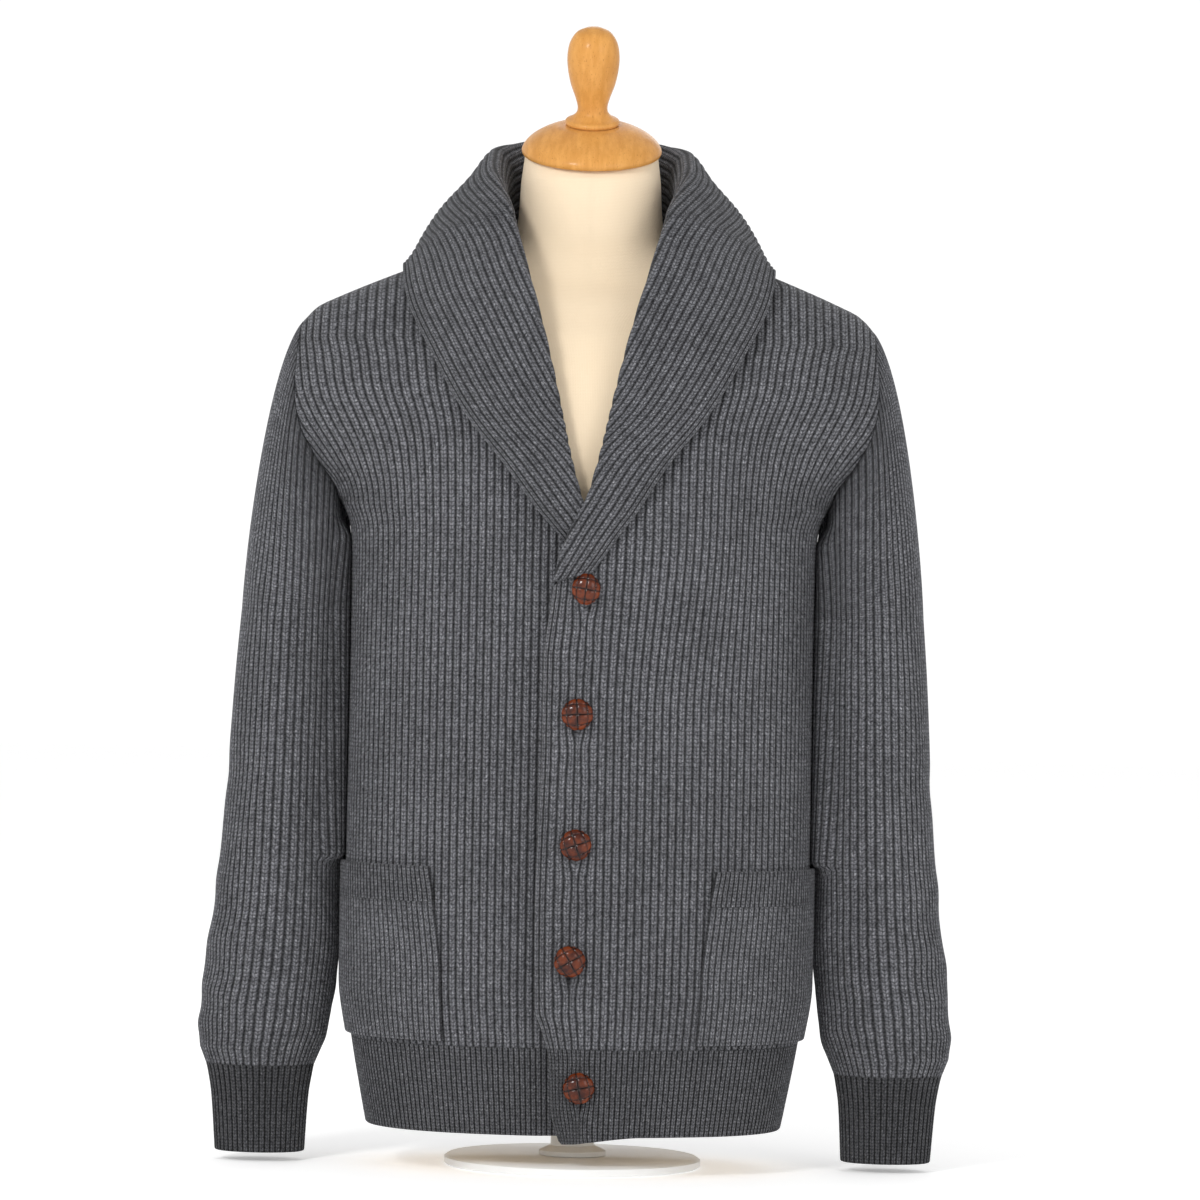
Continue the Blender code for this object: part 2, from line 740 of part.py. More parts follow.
def collar_seam(along, side):
    """The line where the collar joins the fronts and the back, at the middle of its wall."""
    column = look_up(COLLAR_SEAM, "column", np.minimum(along, COLLAR_AT_SHOULDER), "along")
    height = look_up(NECK_SEAM, "height", column, "column")
    front = front_point(column, height, side)
    front[..., 0] *= side
    swing = np.clip((along - COLLAR_AT_SHOULDER) / (1 - COLLAR_AT_SHOULDER), 0, 1) * math.pi / 2
    level = 0 * swing
    back_y = NECK_CENTRE + (NECK_BACK - NECK_CENTRE) * np.sin(swing)
    back = np.stack([NECK_HALF_WIDTH * np.cos(swing), back_y, NECK_HEIGHT + level], axis=-1)
    point = np.where((along > COLLAR_AT_SHOULDER)[..., None], back, front)
    inward = np.stack([-np.cos(swing), -np.sin(swing), 0.35 + level], axis=-1)
    behind = np.stack([-0.6 + level, 1 + level, 0.4 + level], axis=-1)
    blend = ease(along, 0.42, 0.62)[..., None]
    shift = unit(behind * (1 - blend) + inward * blend)
    return point + shift * (COLLAR_WALL / 2 + COLLAR_SEAM_GAP)


def collar_profile(along, side):
    """Control points across the collar, from its outer edge over the fold to the seam."""
    edge, roll, seam = collar_anchors(along, side)
    step = 0.004
    ahead = collar_anchors(np.clip(along + step, 0, 1), side)[1]
    behind = collar_anchors(np.clip(along - step, 0, 1), side)[1]
    run = unit(ahead - behind)
    fall = unit(edge - roll)
    stand = unit(seam - roll)
    out = unit(-np.cross(run, unit(fall + stand)))
    fold = look_up(COLLAR, "fold", along, "along")[..., None]
    bulge = look_up(COLLAR, "bulge", along, "along")[..., None]
    over = roll + fold * (out + 0.6 * fall)
    under = roll + fold * (-out + 0.6 * stand)
    turn = roll + 0.55 * fold * (-unit(fall + stand))
    third = edge + (over - edge) * 0.36 + out * bulge * 0.9
    most = edge + (over - edge) * 0.7 + out * bulge
    half = under + (seam - under) * 0.5
    return np.stack([edge, third, most, over, turn, under, half, seam], axis=-2)


def spline(points, samples):
    """A curve through points along the second last axis, by centripetal steps, at even fine samples."""
    before = 2 * points[..., :1, :] - points[..., 1:2, :]
    after = 2 * points[..., -1:, :] - points[..., -2:-1, :]
    full = np.concatenate([before, points, after], axis=-2)
    gaps = np.sqrt(np.linalg.norm(np.diff(full, axis=-2), axis=-1, keepdims=True))
    gaps = np.maximum(gaps, 1e-6)
    pieces = []
    for k in range(points.shape[-2] - 1):
        p0, p1, p2, p3 = (full[..., k + i, :] for i in range(4))
        d0, d1, d2 = (gaps[..., k + i, :] for i in range(3))
        m1 = (p1 - p0) / d0 - (p2 - p0) / (d0 + d1) + (p2 - p1) / d1
        m2 = (p2 - p1) / d1 - (p3 - p1) / (d1 + d2) + (p3 - p2) / d2
        for t in np.linspace(0, 1, samples, endpoint=False):
            here = (1 + 2 * t) * (1 - t) ** 2 * p1 + t * (1 - t) ** 2 * d1 * m1
            pieces.append(here + t * t * (3 - 2 * t) * p2 + t * t * (t - 1) * d1 * m2)
    pieces.append(points[..., -1, :])
    return np.stack(pieces, axis=-2)


def collar_curves(along, side):
    """Fine points across the collar at each place, and their distance from the outer edge."""
    fine = spline(collar_profile(along, side), 8)
    steps = np.linalg.norm(np.diff(fine, axis=-2), axis=-1)
    length = np.concatenate([np.zeros(steps.shape[:-1] + (1,)), np.cumsum(steps, axis=-1)], axis=-1)
    return fine, length


def collar_half(side, start):
    """Middle-surface points of one half: rows run from the front end to the middle of the back."""
    place = np.linspace(start, 1, COLLAR_ROWS)
    fine, length = collar_curves(place, side)
    over, under, seam = (length[:, 8 * k, None] for k in (3, 5, 7))
    fall_shares = np.linspace(0, 1, 2 * COLLAR_FALL_RIBS + 1)[None, :]
    fold_shares = np.linspace(0, 1, 2 * COLLAR_FOLD_RIBS + 1)[None, 1:]
    stand_shares = np.linspace(0, 1, 4)[None, 1:]
    reach = np.hstack([over * fall_shares, over + (under - over) * fold_shares, under + (seam - under) * stand_shares])
    points = np.array([
        np.stack([np.interp(reach[i], length[i], fine[i, :, k]) for k in range(3)], axis=-1)
        for i in range(len(place))
    ])
    points[..., 0] *= side
    return points


def grid_normals(grid):
    along = np.gradient(grid, axis=0)
    across = np.gradient(grid, axis=1)
    return unit(np.cross(along, across))


def build_collar(material):
    left = collar_half(1, COLLAR_LEFT_START)
    right = collar_half(-1, COLLAR_RIGHT_START)
    middle = np.concatenate([left, right[::-1][1:]])
    middle[COLLAR_ROWS - 1, :, 0] = 0
    normals = grid_normals(middle)
    ribbed = 2 * (COLLAR_FALL_RIBS + COLLAR_FOLD_RIBS) + 1
    columns = middle.shape[1]
    wave = np.concatenate([rib_wave(ribbed), np.zeros(columns - ribbed)]) * RIB_DEPTH
    outer = middle + normals * (COLLAR_WALL / 2 - wave[None, :, None])
    fall_places = some_of(2 * COLLAR_FALL_RIBS + 1, 6)
    places = np.concatenate([fall_places, np.arange(2 * COLLAR_FALL_RIBS + 2, columns, 2), [columns - 1]])
    places = np.unique(places)
    inner = (middle - normals * (COLLAR_WALL / 2))[:, places]
    item = wall("collar", outer, inner, places, material)
    item.data.flip_normals()
    return item


# ---- Pockets.


def patch(name, side, heights, inner_columns, pitch, depth, material):
    """A patch that lies on the front: its points are the front's own, moved out."""
    ribs = round((POCKET_OUTER_COLUMN - inner_columns.mean()) / pitch)
    shares = np.linspace(0, 1, 2 * ribs + 1)[None, :]
    grid = inner_columns[:, None] * (1 - shares) + POCKET_OUTER_COLUMN * shares
    level = heights[:, None] + 0 * grid
    surface = lambda u, z: front_point(u, z, side)
    base = surface(grid, level)
    normal = normals_of(surface, grid, level, base * (1, 1, 0))
    wave = rib_wave(grid.shape[1]) * depth
    outer = base + normal * (PATCH_GAP + PATCH_WALL - wave[None, :, None])
    places = places_along(base, INNER_SPACING / 2)
    inner = (base + normal * PATCH_GAP)[:, places]
    item = wall(name, outer, inner, places, material)
    if side < 0:
        item.data.flip_normals()
    return item


def build_pocket(side, suffix, body_material, band_material):
    gap = SEAM_GAP / 2
    heights = POCKET["height"].copy()
    heights[-1] -= gap
    inner = POCKET["inner_" + suffix]
    patch("pocket_" + suffix, side, heights, inner, POCKET_RIB_PITCH, POCKET_RIB_DEPTH, body_material)
    band = np.array([POCKET_TOP + gap, BAND_TOP])
    columns = np.array([inner[-1], inner[-1] + BAND_TAPER])
    patch("pocket_band_" + suffix, side, band, columns, BAND_RIB_PITCH, FINE_RIB_DEPTH, band_material)


# ---- Buttons and buttonholes.


def front_depth(across, height):
    """Outer surface of the left front straight in front of a place on the button line."""
    depth = section_depth(np.array([abs(across)]), np.array([height]), "front")[0]
    centre = look_up(BODY, "centre", height)
    return float(centre - depth)


def button_profile(back):
    return table(
        ("radius", "along"),
        (0, back),
        (SHANK_RADIUS, back),
        (SHANK_RADIUS, 0.8),
        (BUTTON_RADIUS, 2.2),
        (10.9, 5.2),
        (7.2, 7.6),
        (0, BUTTON_HEIGHT),
    )


def build_button(number, across, height, material):
    level = front_depth(across, height)
    raised = level - float(lift(np.array(across), np.array(height)))
    front = raised - SEAM_GAP
    back = -(level - SHANK_GAP - front)
    place = lambda p: np.stack([across + p[:, 0], front - p[:, 2], height + p[:, 1]], axis=-1)
    return lathe(f"button_{number}", button_profile(back), 12, place, material)


def slit_box(across, height):
    """Corners and faces of one buttonhole: a vertical slit that reaches further below its button."""
    size = (SLIT_WIDTH, 30, SLIT_LENGTH)
    centre = (across, front_depth(across, height) - 6, height - SLIT_BELOW)
    corners = [[centre[i] + (0.5 if bit >> i & 1 else -0.5) * size[i] for i in range(3)] for bit in range(8)]
    faces = [(0, 2, 3, 1), (4, 5, 7, 6), (0, 1, 5, 4), (2, 6, 7, 3), (0, 4, 6, 2), (1, 3, 7, 5)]
    return corners, faces


def cut_slits(item, places):
    """Cuts every buttonhole of one piece of cloth with a single cutter."""
    points, faces = [], []
    for across, height in places:
        corners, sides = slit_box(across, height)
        faces += [tuple(len(points) + i for i in side) for side in sides]
        points += corners
    cutter = add_mesh("slits_" + item.name, points, faces, item.data.materials[0])
    cutter.hide_render = True
    cutter.display_type = "WIRE"
    cut = item.modifiers.new("buttonholes", "BOOLEAN")
    cut.operation = "DIFFERENCE"
    cut.solver = "EXACT"
    cut.object = cutter


def build_buttons(material):
    places = list(zip(BUTTONS["across"], BUTTONS["height"]))
    for number, (across, height) in enumerate(places, start=1):
        build_button(number, across, height, material)
    cut_slits(bpy.data.objects["front_left"], [place for place in places if place[1] > HEM_SEAM])
    cut_slits(bpy.data.objects["hem_front_left"], [place for place in places if place[1] < HEM_SEAM])


# ---- Dress form.


def build_torso(material):
    segments = 28
    heights = FORM["height"]
    angles = np.linspace(0, 2 * math.pi, segments, endpoint=False)
    rings = []
    for height in heights:
        power = 2 / look_up(FORM, "squareness", height)
        sine, cosine = np.sin(angles), np.cos(angles)
        x = look_up(FORM, "half_width", height) * np.sign(sine) * np.abs(sine) ** power
        depth = np.where(cosine > 0, look_up(FORM, "front", height), look_up(FORM, "back", height))
        y = look_up(FORM, "centre", height) - depth * np.sign(cosine) * np.abs(cosine) ** power
        rings.append(np.stack([x, y, height + 0 * x], axis=-1))
    neck = rings[-1].copy()
    neck *= (0.95, 0.93, 1)
    neck[:, 2] = CAP_CENTRE[2] - 0.4 + math.tan(CAP_TILT) * (neck[:, 1] - CAP_CENTRE[1])
    rings.append(neck)
    grid = np.array(rings)
    index = np.arange(grid.shape[0] * segments).reshape(-1, segments)
    index = np.hstack([index, index[:, :1]])
    faces = quads(index) + [tuple(index[0, :-1][::-1]), tuple(index[-1, :-1])]
    return add_mesh("form_torso", grid.reshape(-1, 3), faces, material)


def tilted(points):
    """Stands a turned piece on the neck, leaning forward."""
    cosine, sine = math.cos(CAP_TILT), math.sin(CAP_TILT)
    y = points[:, 1] * cosine - points[:, 2] * sine
    z = points[:, 1] * sine + points[:, 2] * cosine
    return np.stack([points[:, 0] + CAP_CENTRE[0], y + CAP_CENTRE[1], z + CAP_CENTRE[2]], axis=-1)


def standing(points):
    """Leaves a turned piece upright on the floor, in the middle of the part."""
    return points


def build_form(cloth, turned_wood, paint):
    build_torso(cloth)
    lathe("form_neck_cap", CAP, 20, tilted, turned_wood)
    lathe("form_finial", FINIAL, 14, tilted, turned_wood)
    lathe("form_post", POST, 14, standing, paint)
    lathe("form_base", BASE, 28, standing, paint)


# ---- Assembly.


def make_material(name, colour, roughness):
    material = bpy.data.materials.new(name)
    material.use_nodes = True
    shader = material.node_tree.nodes["Principled BSDF"]
    shader.inputs["Base Color"].default_value = (*colour, 1)
    shader.inputs["Roughness"].default_value = roughness
    shader.inputs["Metallic"].default_value = 0
    material.diffuse_color = (*colour, 1)
    return material


def main():
    for item in list(bpy.data.objects):
        bpy.data.objects.remove(item)
    wool = make_material("charcoal_wool", (0.075, 0.08, 0.088), 0.95)
    fine_wool = make_material("charcoal_wool_fine_rib", (0.07, 0.075, 0.083), 0.95)
    leather = make_material("brown_leather", (0.17, 0.045, 0.015), 0.3)
    linen = make_material("cream_cloth", (0.72, 0.62, 0.46), 0.85)
    paint = make_material("white_paint", (0.8, 0.8, 0.8), 0.5)
    beech = make_material("turned_beech", (0.55, 0.27, 0.08), 0.35)
    build_fronts_and_back(wool)
    build_hem(fine_wool)
    for side, suffix in ((1, "left"), (-1, "right")):
        build_sleeve(side, "sleeve_" + suffix, wool)
        build_cuff(side, "cuff_" + suffix, fine_wool)
        build_pocket(side, suffix, wool, fine_wool)
    build_collar(wool)
    build_buttons(leather)
    build_form(linen, beech, paint)


main()
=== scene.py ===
import json
import math

import bpy
import numpy as np
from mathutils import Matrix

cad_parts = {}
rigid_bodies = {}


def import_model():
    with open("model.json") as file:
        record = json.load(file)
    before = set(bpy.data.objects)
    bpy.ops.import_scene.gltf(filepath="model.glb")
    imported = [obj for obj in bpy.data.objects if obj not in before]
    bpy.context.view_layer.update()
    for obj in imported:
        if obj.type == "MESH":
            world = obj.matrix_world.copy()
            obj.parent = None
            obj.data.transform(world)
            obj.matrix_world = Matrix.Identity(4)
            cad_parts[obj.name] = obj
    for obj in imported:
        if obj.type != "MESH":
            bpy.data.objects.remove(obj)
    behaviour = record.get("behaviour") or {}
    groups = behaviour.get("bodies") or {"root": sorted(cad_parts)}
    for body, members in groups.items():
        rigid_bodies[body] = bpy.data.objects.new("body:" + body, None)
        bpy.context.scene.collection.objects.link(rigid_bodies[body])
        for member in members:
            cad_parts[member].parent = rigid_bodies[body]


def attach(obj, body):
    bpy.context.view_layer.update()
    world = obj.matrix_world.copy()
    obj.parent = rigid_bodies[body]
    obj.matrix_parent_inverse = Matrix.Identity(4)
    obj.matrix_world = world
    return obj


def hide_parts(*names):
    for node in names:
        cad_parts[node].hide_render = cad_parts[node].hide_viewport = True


for leftOver in list(bpy.data.objects):
    bpy.data.objects.remove(leftOver)
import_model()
bpy.context.scene.view_settings.view_transform = "Standard"
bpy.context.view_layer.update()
mm = 0.001                                   # the shapes below are in millimetres
scene = bpy.context.scene


# columns and rows of numbers as one array per column
def table(columns, *rows):
    return {name: np.array([row[i] for row in rows], float) for i, name in enumerate(columns)}


# cubic Hermite curve through the rows, with harmonic-mean slopes so it never overshoots
def smooth(at, xs, ys):
    at = np.clip(np.asarray(at, float), xs[0], xs[-1])
    steps = np.diff(xs)
    slopes = np.diff(ys) / steps
    tangents = np.zeros(len(xs))
    before, after = slopes[:-1], slopes[1:]
    same = before * after > 0
    tangents[1:-1][same] = 2 * before[same] * after[same] / (before[same] + after[same])
    tangents[0], tangents[-1] = slopes[0], slopes[-1]
    i = np.clip(np.searchsorted(xs, at, side="right") - 1, 0, len(xs) - 2)
    t = (at - xs[i]) / steps[i]
    rise = (1 - t) ** 2 * (1 + 2 * t) * ys[i] + t * t * (3 - 2 * t) * ys[i + 1]
    return rise + steps[i] * t * (1 - t) * ((1 - t) * tangents[i] - t * tangents[i + 1])


# a named column of a table, read off at any height or place along
def lookUp(rows, name, at, by="height"):
    return smooth(at, rows[by], rows[name])


# 0 before start, 1 after end, and 3t^2 - 2t^3 of the share t of the way between
def ease(at, start, end):
    t = np.clip((np.asarray(at, float) - start) / (end - start), 0, 1)
    return t * t * (3 - 2 * t)


# each vector over its own length
def unit(vectors):
    return vectors / np.maximum(np.linalg.norm(vectors, axis=-1, keepdims=True), 1e-9)


# each row is a soft ridge: rise times a Gaussian along its lean and a narrower one beside it
def foldRise(across, height, rows):
    total = np.zeros(np.broadcast(across, height).shape)
    for x, z, lean, halfLength, halfWidth, rise in zip(*(rows[name] for name in foldColumns)):
        angle = math.radians(lean)
        dx, dz = across - x, height - z
        along = dx * math.sin(angle) + dz * math.cos(angle)
        beside = dx * math.cos(angle) - dz * math.sin(angle)
        total = total + rise * np.exp(-(along / halfLength) ** 2 - (beside / halfWidth) ** 2)
    return total


foldColumns = ("across", "height", "lean", "halfLength", "halfWidth", "rise")

# ---- knitting: how a rib is cut and how its stitches count

knit = {
    "bodyPitch": 6.1, "sleevePitch": 6.2, "hemPitch": 4.4, "cuffPitch": 4.6,
    "pocketPitch": 4.6, "bandPitch": 3.9, "collarPitch": 6.2,
    "selvedge": 3.8, "selvedgeRibs": 2,      # the narrow stitch columns along a free edge
    "depth": 1.35, "fineDepth": 0.95,
    "stitch": 3.0, "fineStitch": 2.6,
    "wall": 4.0, "seamGap": 0.4, "crest": 2.6,
    "places": (0.0, 0.12, 0.35, 0.65, 0.88),  # where each rib has its mesh columns
}


# a rib's drop below its crest: |2p - 1| to a power, so crests are round and valleys narrow
def ribDrop(place):
    return np.abs(2 * (place % 1.0) - 1) ** knit["crest"]


# mesh columns of a panel: narrow selvedge ribs first, then even ribs up to the end, each with its
# own five places; with the columns go the rib counts at them
def ribColumns(start, end, pitch, selvedge=0):
    first = start + knit["selvedge"] * np.arange(selvedge + 1)
    count = max(2, round((end - first[-1]) / pitch))
    bounds = np.concatenate([first[:-1], np.linspace(first[-1], end, count + 1)])
    places = np.array(knit["places"])
    columns = (bounds[:-1, None] + np.diff(bounds)[:, None] * places).ravel()
    counts = (np.arange(len(bounds) - 1)[:, None] + places).ravel()
    return np.append(columns, end), np.append(counts, len(bounds) - 1)


# texture coordinates: ribs counted across, and the height over the length of one stitch
def knitPlaces(counts, heights, stitch="stitch"):
    return np.stack(np.broadcast_arrays(counts, heights / knit[stitch]), axis=-1)


# ---- body: a superellipse at each height, met by columns of knitting

body = {
    "sections": table(
        ("height", "halfWidth", "front", "back", "centre", "squareness"),
        (20, 159, 110, 106, 0, 2.5),
        (50, 165, 112, 108, 0, 2.5),
        (99, 174, 116, 112, 0, 2.5),
        (145, 180.5, 120, 115, 0, 2.5),
        (250, 181, 123, 114, 0, 2.5),
        (380, 180.5, 124, 113, 0, 2.5),
        (480, 181, 126, 118, 0, 2.4),
        (495, 182.3, 126, 119, 0, 2.4),
        (527, 199, 125, 121, 0, 2.4),
        (548, 222, 124, 121, 1, 2.4),
        (575, 245, 122, 120, 2, 2.4),
        (600, 248, 119, 117, 3, 2.4),
        (625, 239.5, 112, 111, 4, 2.3),
        (640, 231, 106, 106, 5, 2.2),
        (655, 222, 98, 100, 6, 2.1),
        (666, 211, 92, 94, 6, 2.0),
        (674, 195, 88, 90, 6, 2.0),
        (697, 140, 74, 78, 6, 2.0),
        (722, 74, 58, 64, 6, 2.0),
    ),
    "armhole": table(
        ("height", "across", "ended"),
        (495, 182.3, 0),
        (498, 183.6, 7),
        (507, 187.3, 15),
        (527, 194, 24.5),
        (548, 208, 33),
        (575, 221, 42),
        (600, 225, 48),
        (625, 224.5, 52),
        (640, 224, 54),
        (655, 222, 56),
    ),
    "freeEdge": table(
        ("height", "across"),
        (24, 10), (51, 18), (90, 20), (110, 24), (129, 31), (207, 32),
        (336, 29), (395, 29), (426, 26), (457, 21), (478, 15), (500, 8),
    ),
    "neckSeam": table(
        ("column", "height"),
        (-30, 450), (-16, 460), (0, 474), (12, 490), (27, 520),
        (44, 560), (57, 600), (66, 650), (71, 700), (74, 720),
    ),
    "sideColumn": 250.0, "overlap": 30.0, "hemSeam": 99.0, "hemEdge": 32.0,
    "underarm": 495.0, "turn": 430.0, "fanStart": 480.0, "straightFrom": 640.0,
    "fanPower": 9.0, "fanWide": 610.0, "rowStep": 2.0,
    "shoulderTip": 655.0, "neckHalfWidth": 74.0, "neckHeight": 722.0, "armholeCentre": 578.0,
    "lap": 5.4, "lapAtCollar": 10.5,         # how far the left front stands over the right one
    "lapRises": (425, 458), "lapEnds": (497, 560), "lapAcross": (38, 98),
    "edgeLift": 1.2, "edgeWidth": 7.0, "edgeEnds": (400, 440),         # the left front's free edge
    "lapHollow": 3.2, "hollowWidth": 15.0, "hollowEnds": (440, 500),   # the right one beside it
    "foldsEnd": (610, 660), "backFoldsEnd": (630, 680), "foldsBeside": (-22, 30),
    "lean": 11.0, "leanColumn": 74.0, "leanWidth": 66.0, "leanFrom": 350.0, "leanTo": 500.0,
    "folds": table(
        foldColumns,
        (-120, 470, 28, 70, 13, 1.8), (124, 478, -24, 76, 14, 1.7), (-60, 330, 4, 120, 26, 1.2),
        (74, 300, -6, 130, 24, 1.3), (-95, 250, 8, 60, 18, -1.0), (110, 360, 0, 90, 20, -1.1),
        (30, 210, -4, 90, 16, 1.2), (-40, 160, 3, 70, 18, 1.0), (150, 430, -18, 50, 10, -1.3),
        (-150, 425, 20, 50, 10, -1.4), (12, 400, 6, 46, 12, 1.0), (-14, 300, -5, 46, 12, 0.9),
        (-105, 600, 34, 60, 16, 1.6), (112, 596, -32, 64, 16, 1.5), (60, 120, 0, 40, 15, 1.1),
    ),
    "backFolds": table(
        foldColumns,
        (-110, 480, -30, 80, 15, 2.0), (118, 470, 28, 76, 15, 1.9), (-30, 560, 80, 90, 16, 1.2),
        (40, 330, 6, 130, 26, 1.3), (-70, 280, -8, 120, 24, 1.4), (90, 210, 12, 80, 20, 1.2),
        (-120, 200, -6, 70, 18, -1.2), (0, 180, 84, 90, 12, 1.3), (20, 620, 86, 80, 12, -1.1),
    ),
}

buttons = {
    "places": table(
        ("across", "height", "turn"),
        (2.6, 449, -8), (-2.2, 354, 4), (-1.5, 255, 20), (-4.3, 166.5, 31), (4.2, 70, 12),
    ),
    "radius": 12.0, "rise": 8.5, "rim": 2.2, "shank": 1.3, "squash": (0.9, 1, 1, 1, 1),
    "strap": 8.6, "curve": 1.3, "relief": 0.9,           # straps bend towards the rim
    "rings": 44, "spokes": 96, "domeShare": 1.28, "domePower": 0.82, "tuck": 1.6,
    "slitHalf": 9.5, "slitBelow": 6.0, "slitDepth": 3.4, "slitWidth": 1.7, "opening": 1.5,
    "pullWidth": 9.0, "closing": 2.6, "closeHalf": 13.0, "closeAt": (-24.0, 26.0), "sink": 1.4,
}


# one of the body's measures at a height
def bodyAt(name, height):
    return lookUp(body["sections"], name, height)


# arc length runs from the middle; each height keeps points at even shares of its arc
def sectionMap(side):
    heights = np.arange(body["sections"]["height"][0], body["neckHeight"] + 1, body["rowStep"])
    angles = np.linspace(0, np.pi / 2, 241)
    power = 2 / bodyAt("squareness", heights)[:, None]
    across = bodyAt("halfWidth", heights)[:, None] * np.sin(angles) ** power
    depth = bodyAt(side, heights)[:, None] * np.cos(angles) ** power
    steps = np.hypot(np.diff(across, axis=1), np.diff(depth, axis=1))
    arcs = np.concatenate([np.zeros((len(heights), 1)), np.cumsum(steps, axis=1)], axis=1)
    shares = np.linspace(0, 1, 241)
    acrossAt = np.array([np.interp(shares * arc[-1], arc, row) for arc, row in zip(arcs, across)])
    depthAt = np.array([np.interp(shares * arc[-1], arc, row) for arc, row in zip(arcs, depth)])
    return {"heights": heights, "length": arcs[:, -1], "across": acrossAt, "depth": depthAt}


# at each height, the last column left and the arc length where it meets the side or armhole
def stretchRows(sections):
    heights = np.concatenate([np.arange(20, 480, 20), np.arange(480, 641, 4)]).astype(float)
    low = heights < body["underarm"]
    atSide = bodyAt("halfWidth", heights)
    edge = np.where(low, atSide, lookUp(body["armhole"], "across", heights))
    ended = np.where(low, 0, lookUp(body["armhole"], "ended", heights))
    rows = np.round((heights - heights[0]) / body["rowStep"]).astype(int)
    shares = np.linspace(0, 1, sections["across"].shape[1])
    share = np.array([np.interp(e, sections["across"][r], shares) for e, r in zip(edge, rows)])
    arc = share * sections["length"][rows]
    return {"heights": heights, "column": body["sideColumn"] - ended, "arc": arc}


sectionMaps = {side: sectionMap(side) for side in ("front", "back")}
stretches = {side: stretchRows(sectionMaps[side]) for side in ("front", "back")}


# bilinear mix of a grid at fractional row and column numbers
def sampleGrid(grid, row, column):
    i = np.clip(row.astype(int), 0, grid.shape[0] - 2)
    j = np.clip(column.astype(int), 0, grid.shape[1] - 2)
    a, b = row - i, column - j
    low = grid[i, j] * (1 - b) + grid[i, j + 1] * b
    high = grid[i + 1, j] * (1 - b) + grid[i + 1, j + 1] * b
    return low * (1 - a) + high * a


# depth of the superellipse: (1 - |x / a|^n)^(1 / n) of its front or back depth
def sectionDepth(across, height, side):
    half = bodyAt("halfWidth", height)
    power = bodyAt("squareness", height)
    share = np.clip(np.abs(across) / half, 0, 1)
    return bodyAt(side, height) * (1 - share**power) ** (1 / power)


# a column keeps its arc length low down; higher up it fans out by a power of its share, which
# keeps the change close to the armhole at first and spreads it evenly further up
def bodyPoint(column, height, side):
    column, height = np.broadcast_arrays(np.asarray(column, float), np.asarray(height, float))
    sections, stretch = sectionMaps[side], stretches[side]
    level = np.minimum(height, body["straightFrom"])
    last = np.interp(level, stretch["heights"], stretch["column"])
    arc = np.interp(level, stretch["heights"], stretch["arc"])
    lowArc = np.interp(np.minimum(level, body["fanStart"]), stretch["heights"], stretch["arc"])
    base = lowArc / body["sideColumn"]
    reach = np.abs(column)
    wide = ease(level, body["underarm"] - 10, body["fanWide"])
    power = body["fanPower"] + (2 - body["fanPower"]) * wide
    target = reach * base + (arc - last * base) * np.clip(reach / last, 0, 1) ** power
    length = np.interp(level, sections["heights"], sections["length"])
    share = np.clip(target / length, 0, 1) * (sections["across"].shape[1] - 1)
    row = (level - sections["heights"][0]) / body["rowStep"]
    across = sampleGrid(sections["across"], row, share)
    high = height > body["straightFrom"]
    widest = bodyAt("halfWidth", height)
    across = np.where(high, np.minimum(across, widest), across)
    atRow = sampleGrid(sections["depth"], row, share)
    depth = np.where(high, sectionDepth(across, height, side), atRow)
    sign = -1 if side == "front" else 1
    y = bodyAt("centre", height) + sign * depth
    return np.stack([np.sign(column) * across, y, height], axis=-1)


# height of the shoulder line at a distance from the middle: the widths from its tip up, read in turn
def shoulderHeight(across):
    rows = body["sections"]["height"] >= body["shoulderTip"]
    widths = body["sections"]["halfWidth"][rows][::-1]
    return smooth(across, widths, body["sections"]["height"][rows][::-1])


# each column ends at the neck seam, the shoulder seam or the armhole
def columnTop(column, side):
    reach = np.abs(column)
    ended = np.clip(body["sideColumn"] - reach, 0, None)
    armhole = np.interp(ended, body["armhole"]["ended"], body["armhole"]["height"])
    across = bodyPoint(reach, body["straightFrom"] + 0 * reach, side)[..., 0]
    top = np.where(ended < body["armhole"]["ended"][-1], armhole, shoulderHeight(across))
    if side == "back":
        return np.where(across < body["neckHalfWidth"], body["neckHeight"], top)
    neck = lookUp(body["neckSeam"], "height", column, "column")
    return np.where(column < body["neckSeam"]["column"][-1], neck, top)


# columns near the left front's free edge follow its soft waves, by the square of their nearness
def freeEdgeShift(column, height, side):
    if side < 0:
        return column
    near = np.clip((25 - column) / (25 + body["overlap"]), 0, 1) ** 2
    return column + (body["overlap"] - lookUp(body["freeEdge"], "across", height)) * near


# how far the left front stands out over the right: one lift low down, a larger one below the
# collar, both eased out upwards and sideways
def lapLift(across, height):
    low = body["lap"] + (body["lapAtCollar"] - body["lap"]) * ease(height, *body["lapRises"])
    return low * (1 - ease(height, *body["lapEnds"])) * (1 - ease(across, *body["lapAcross"]))


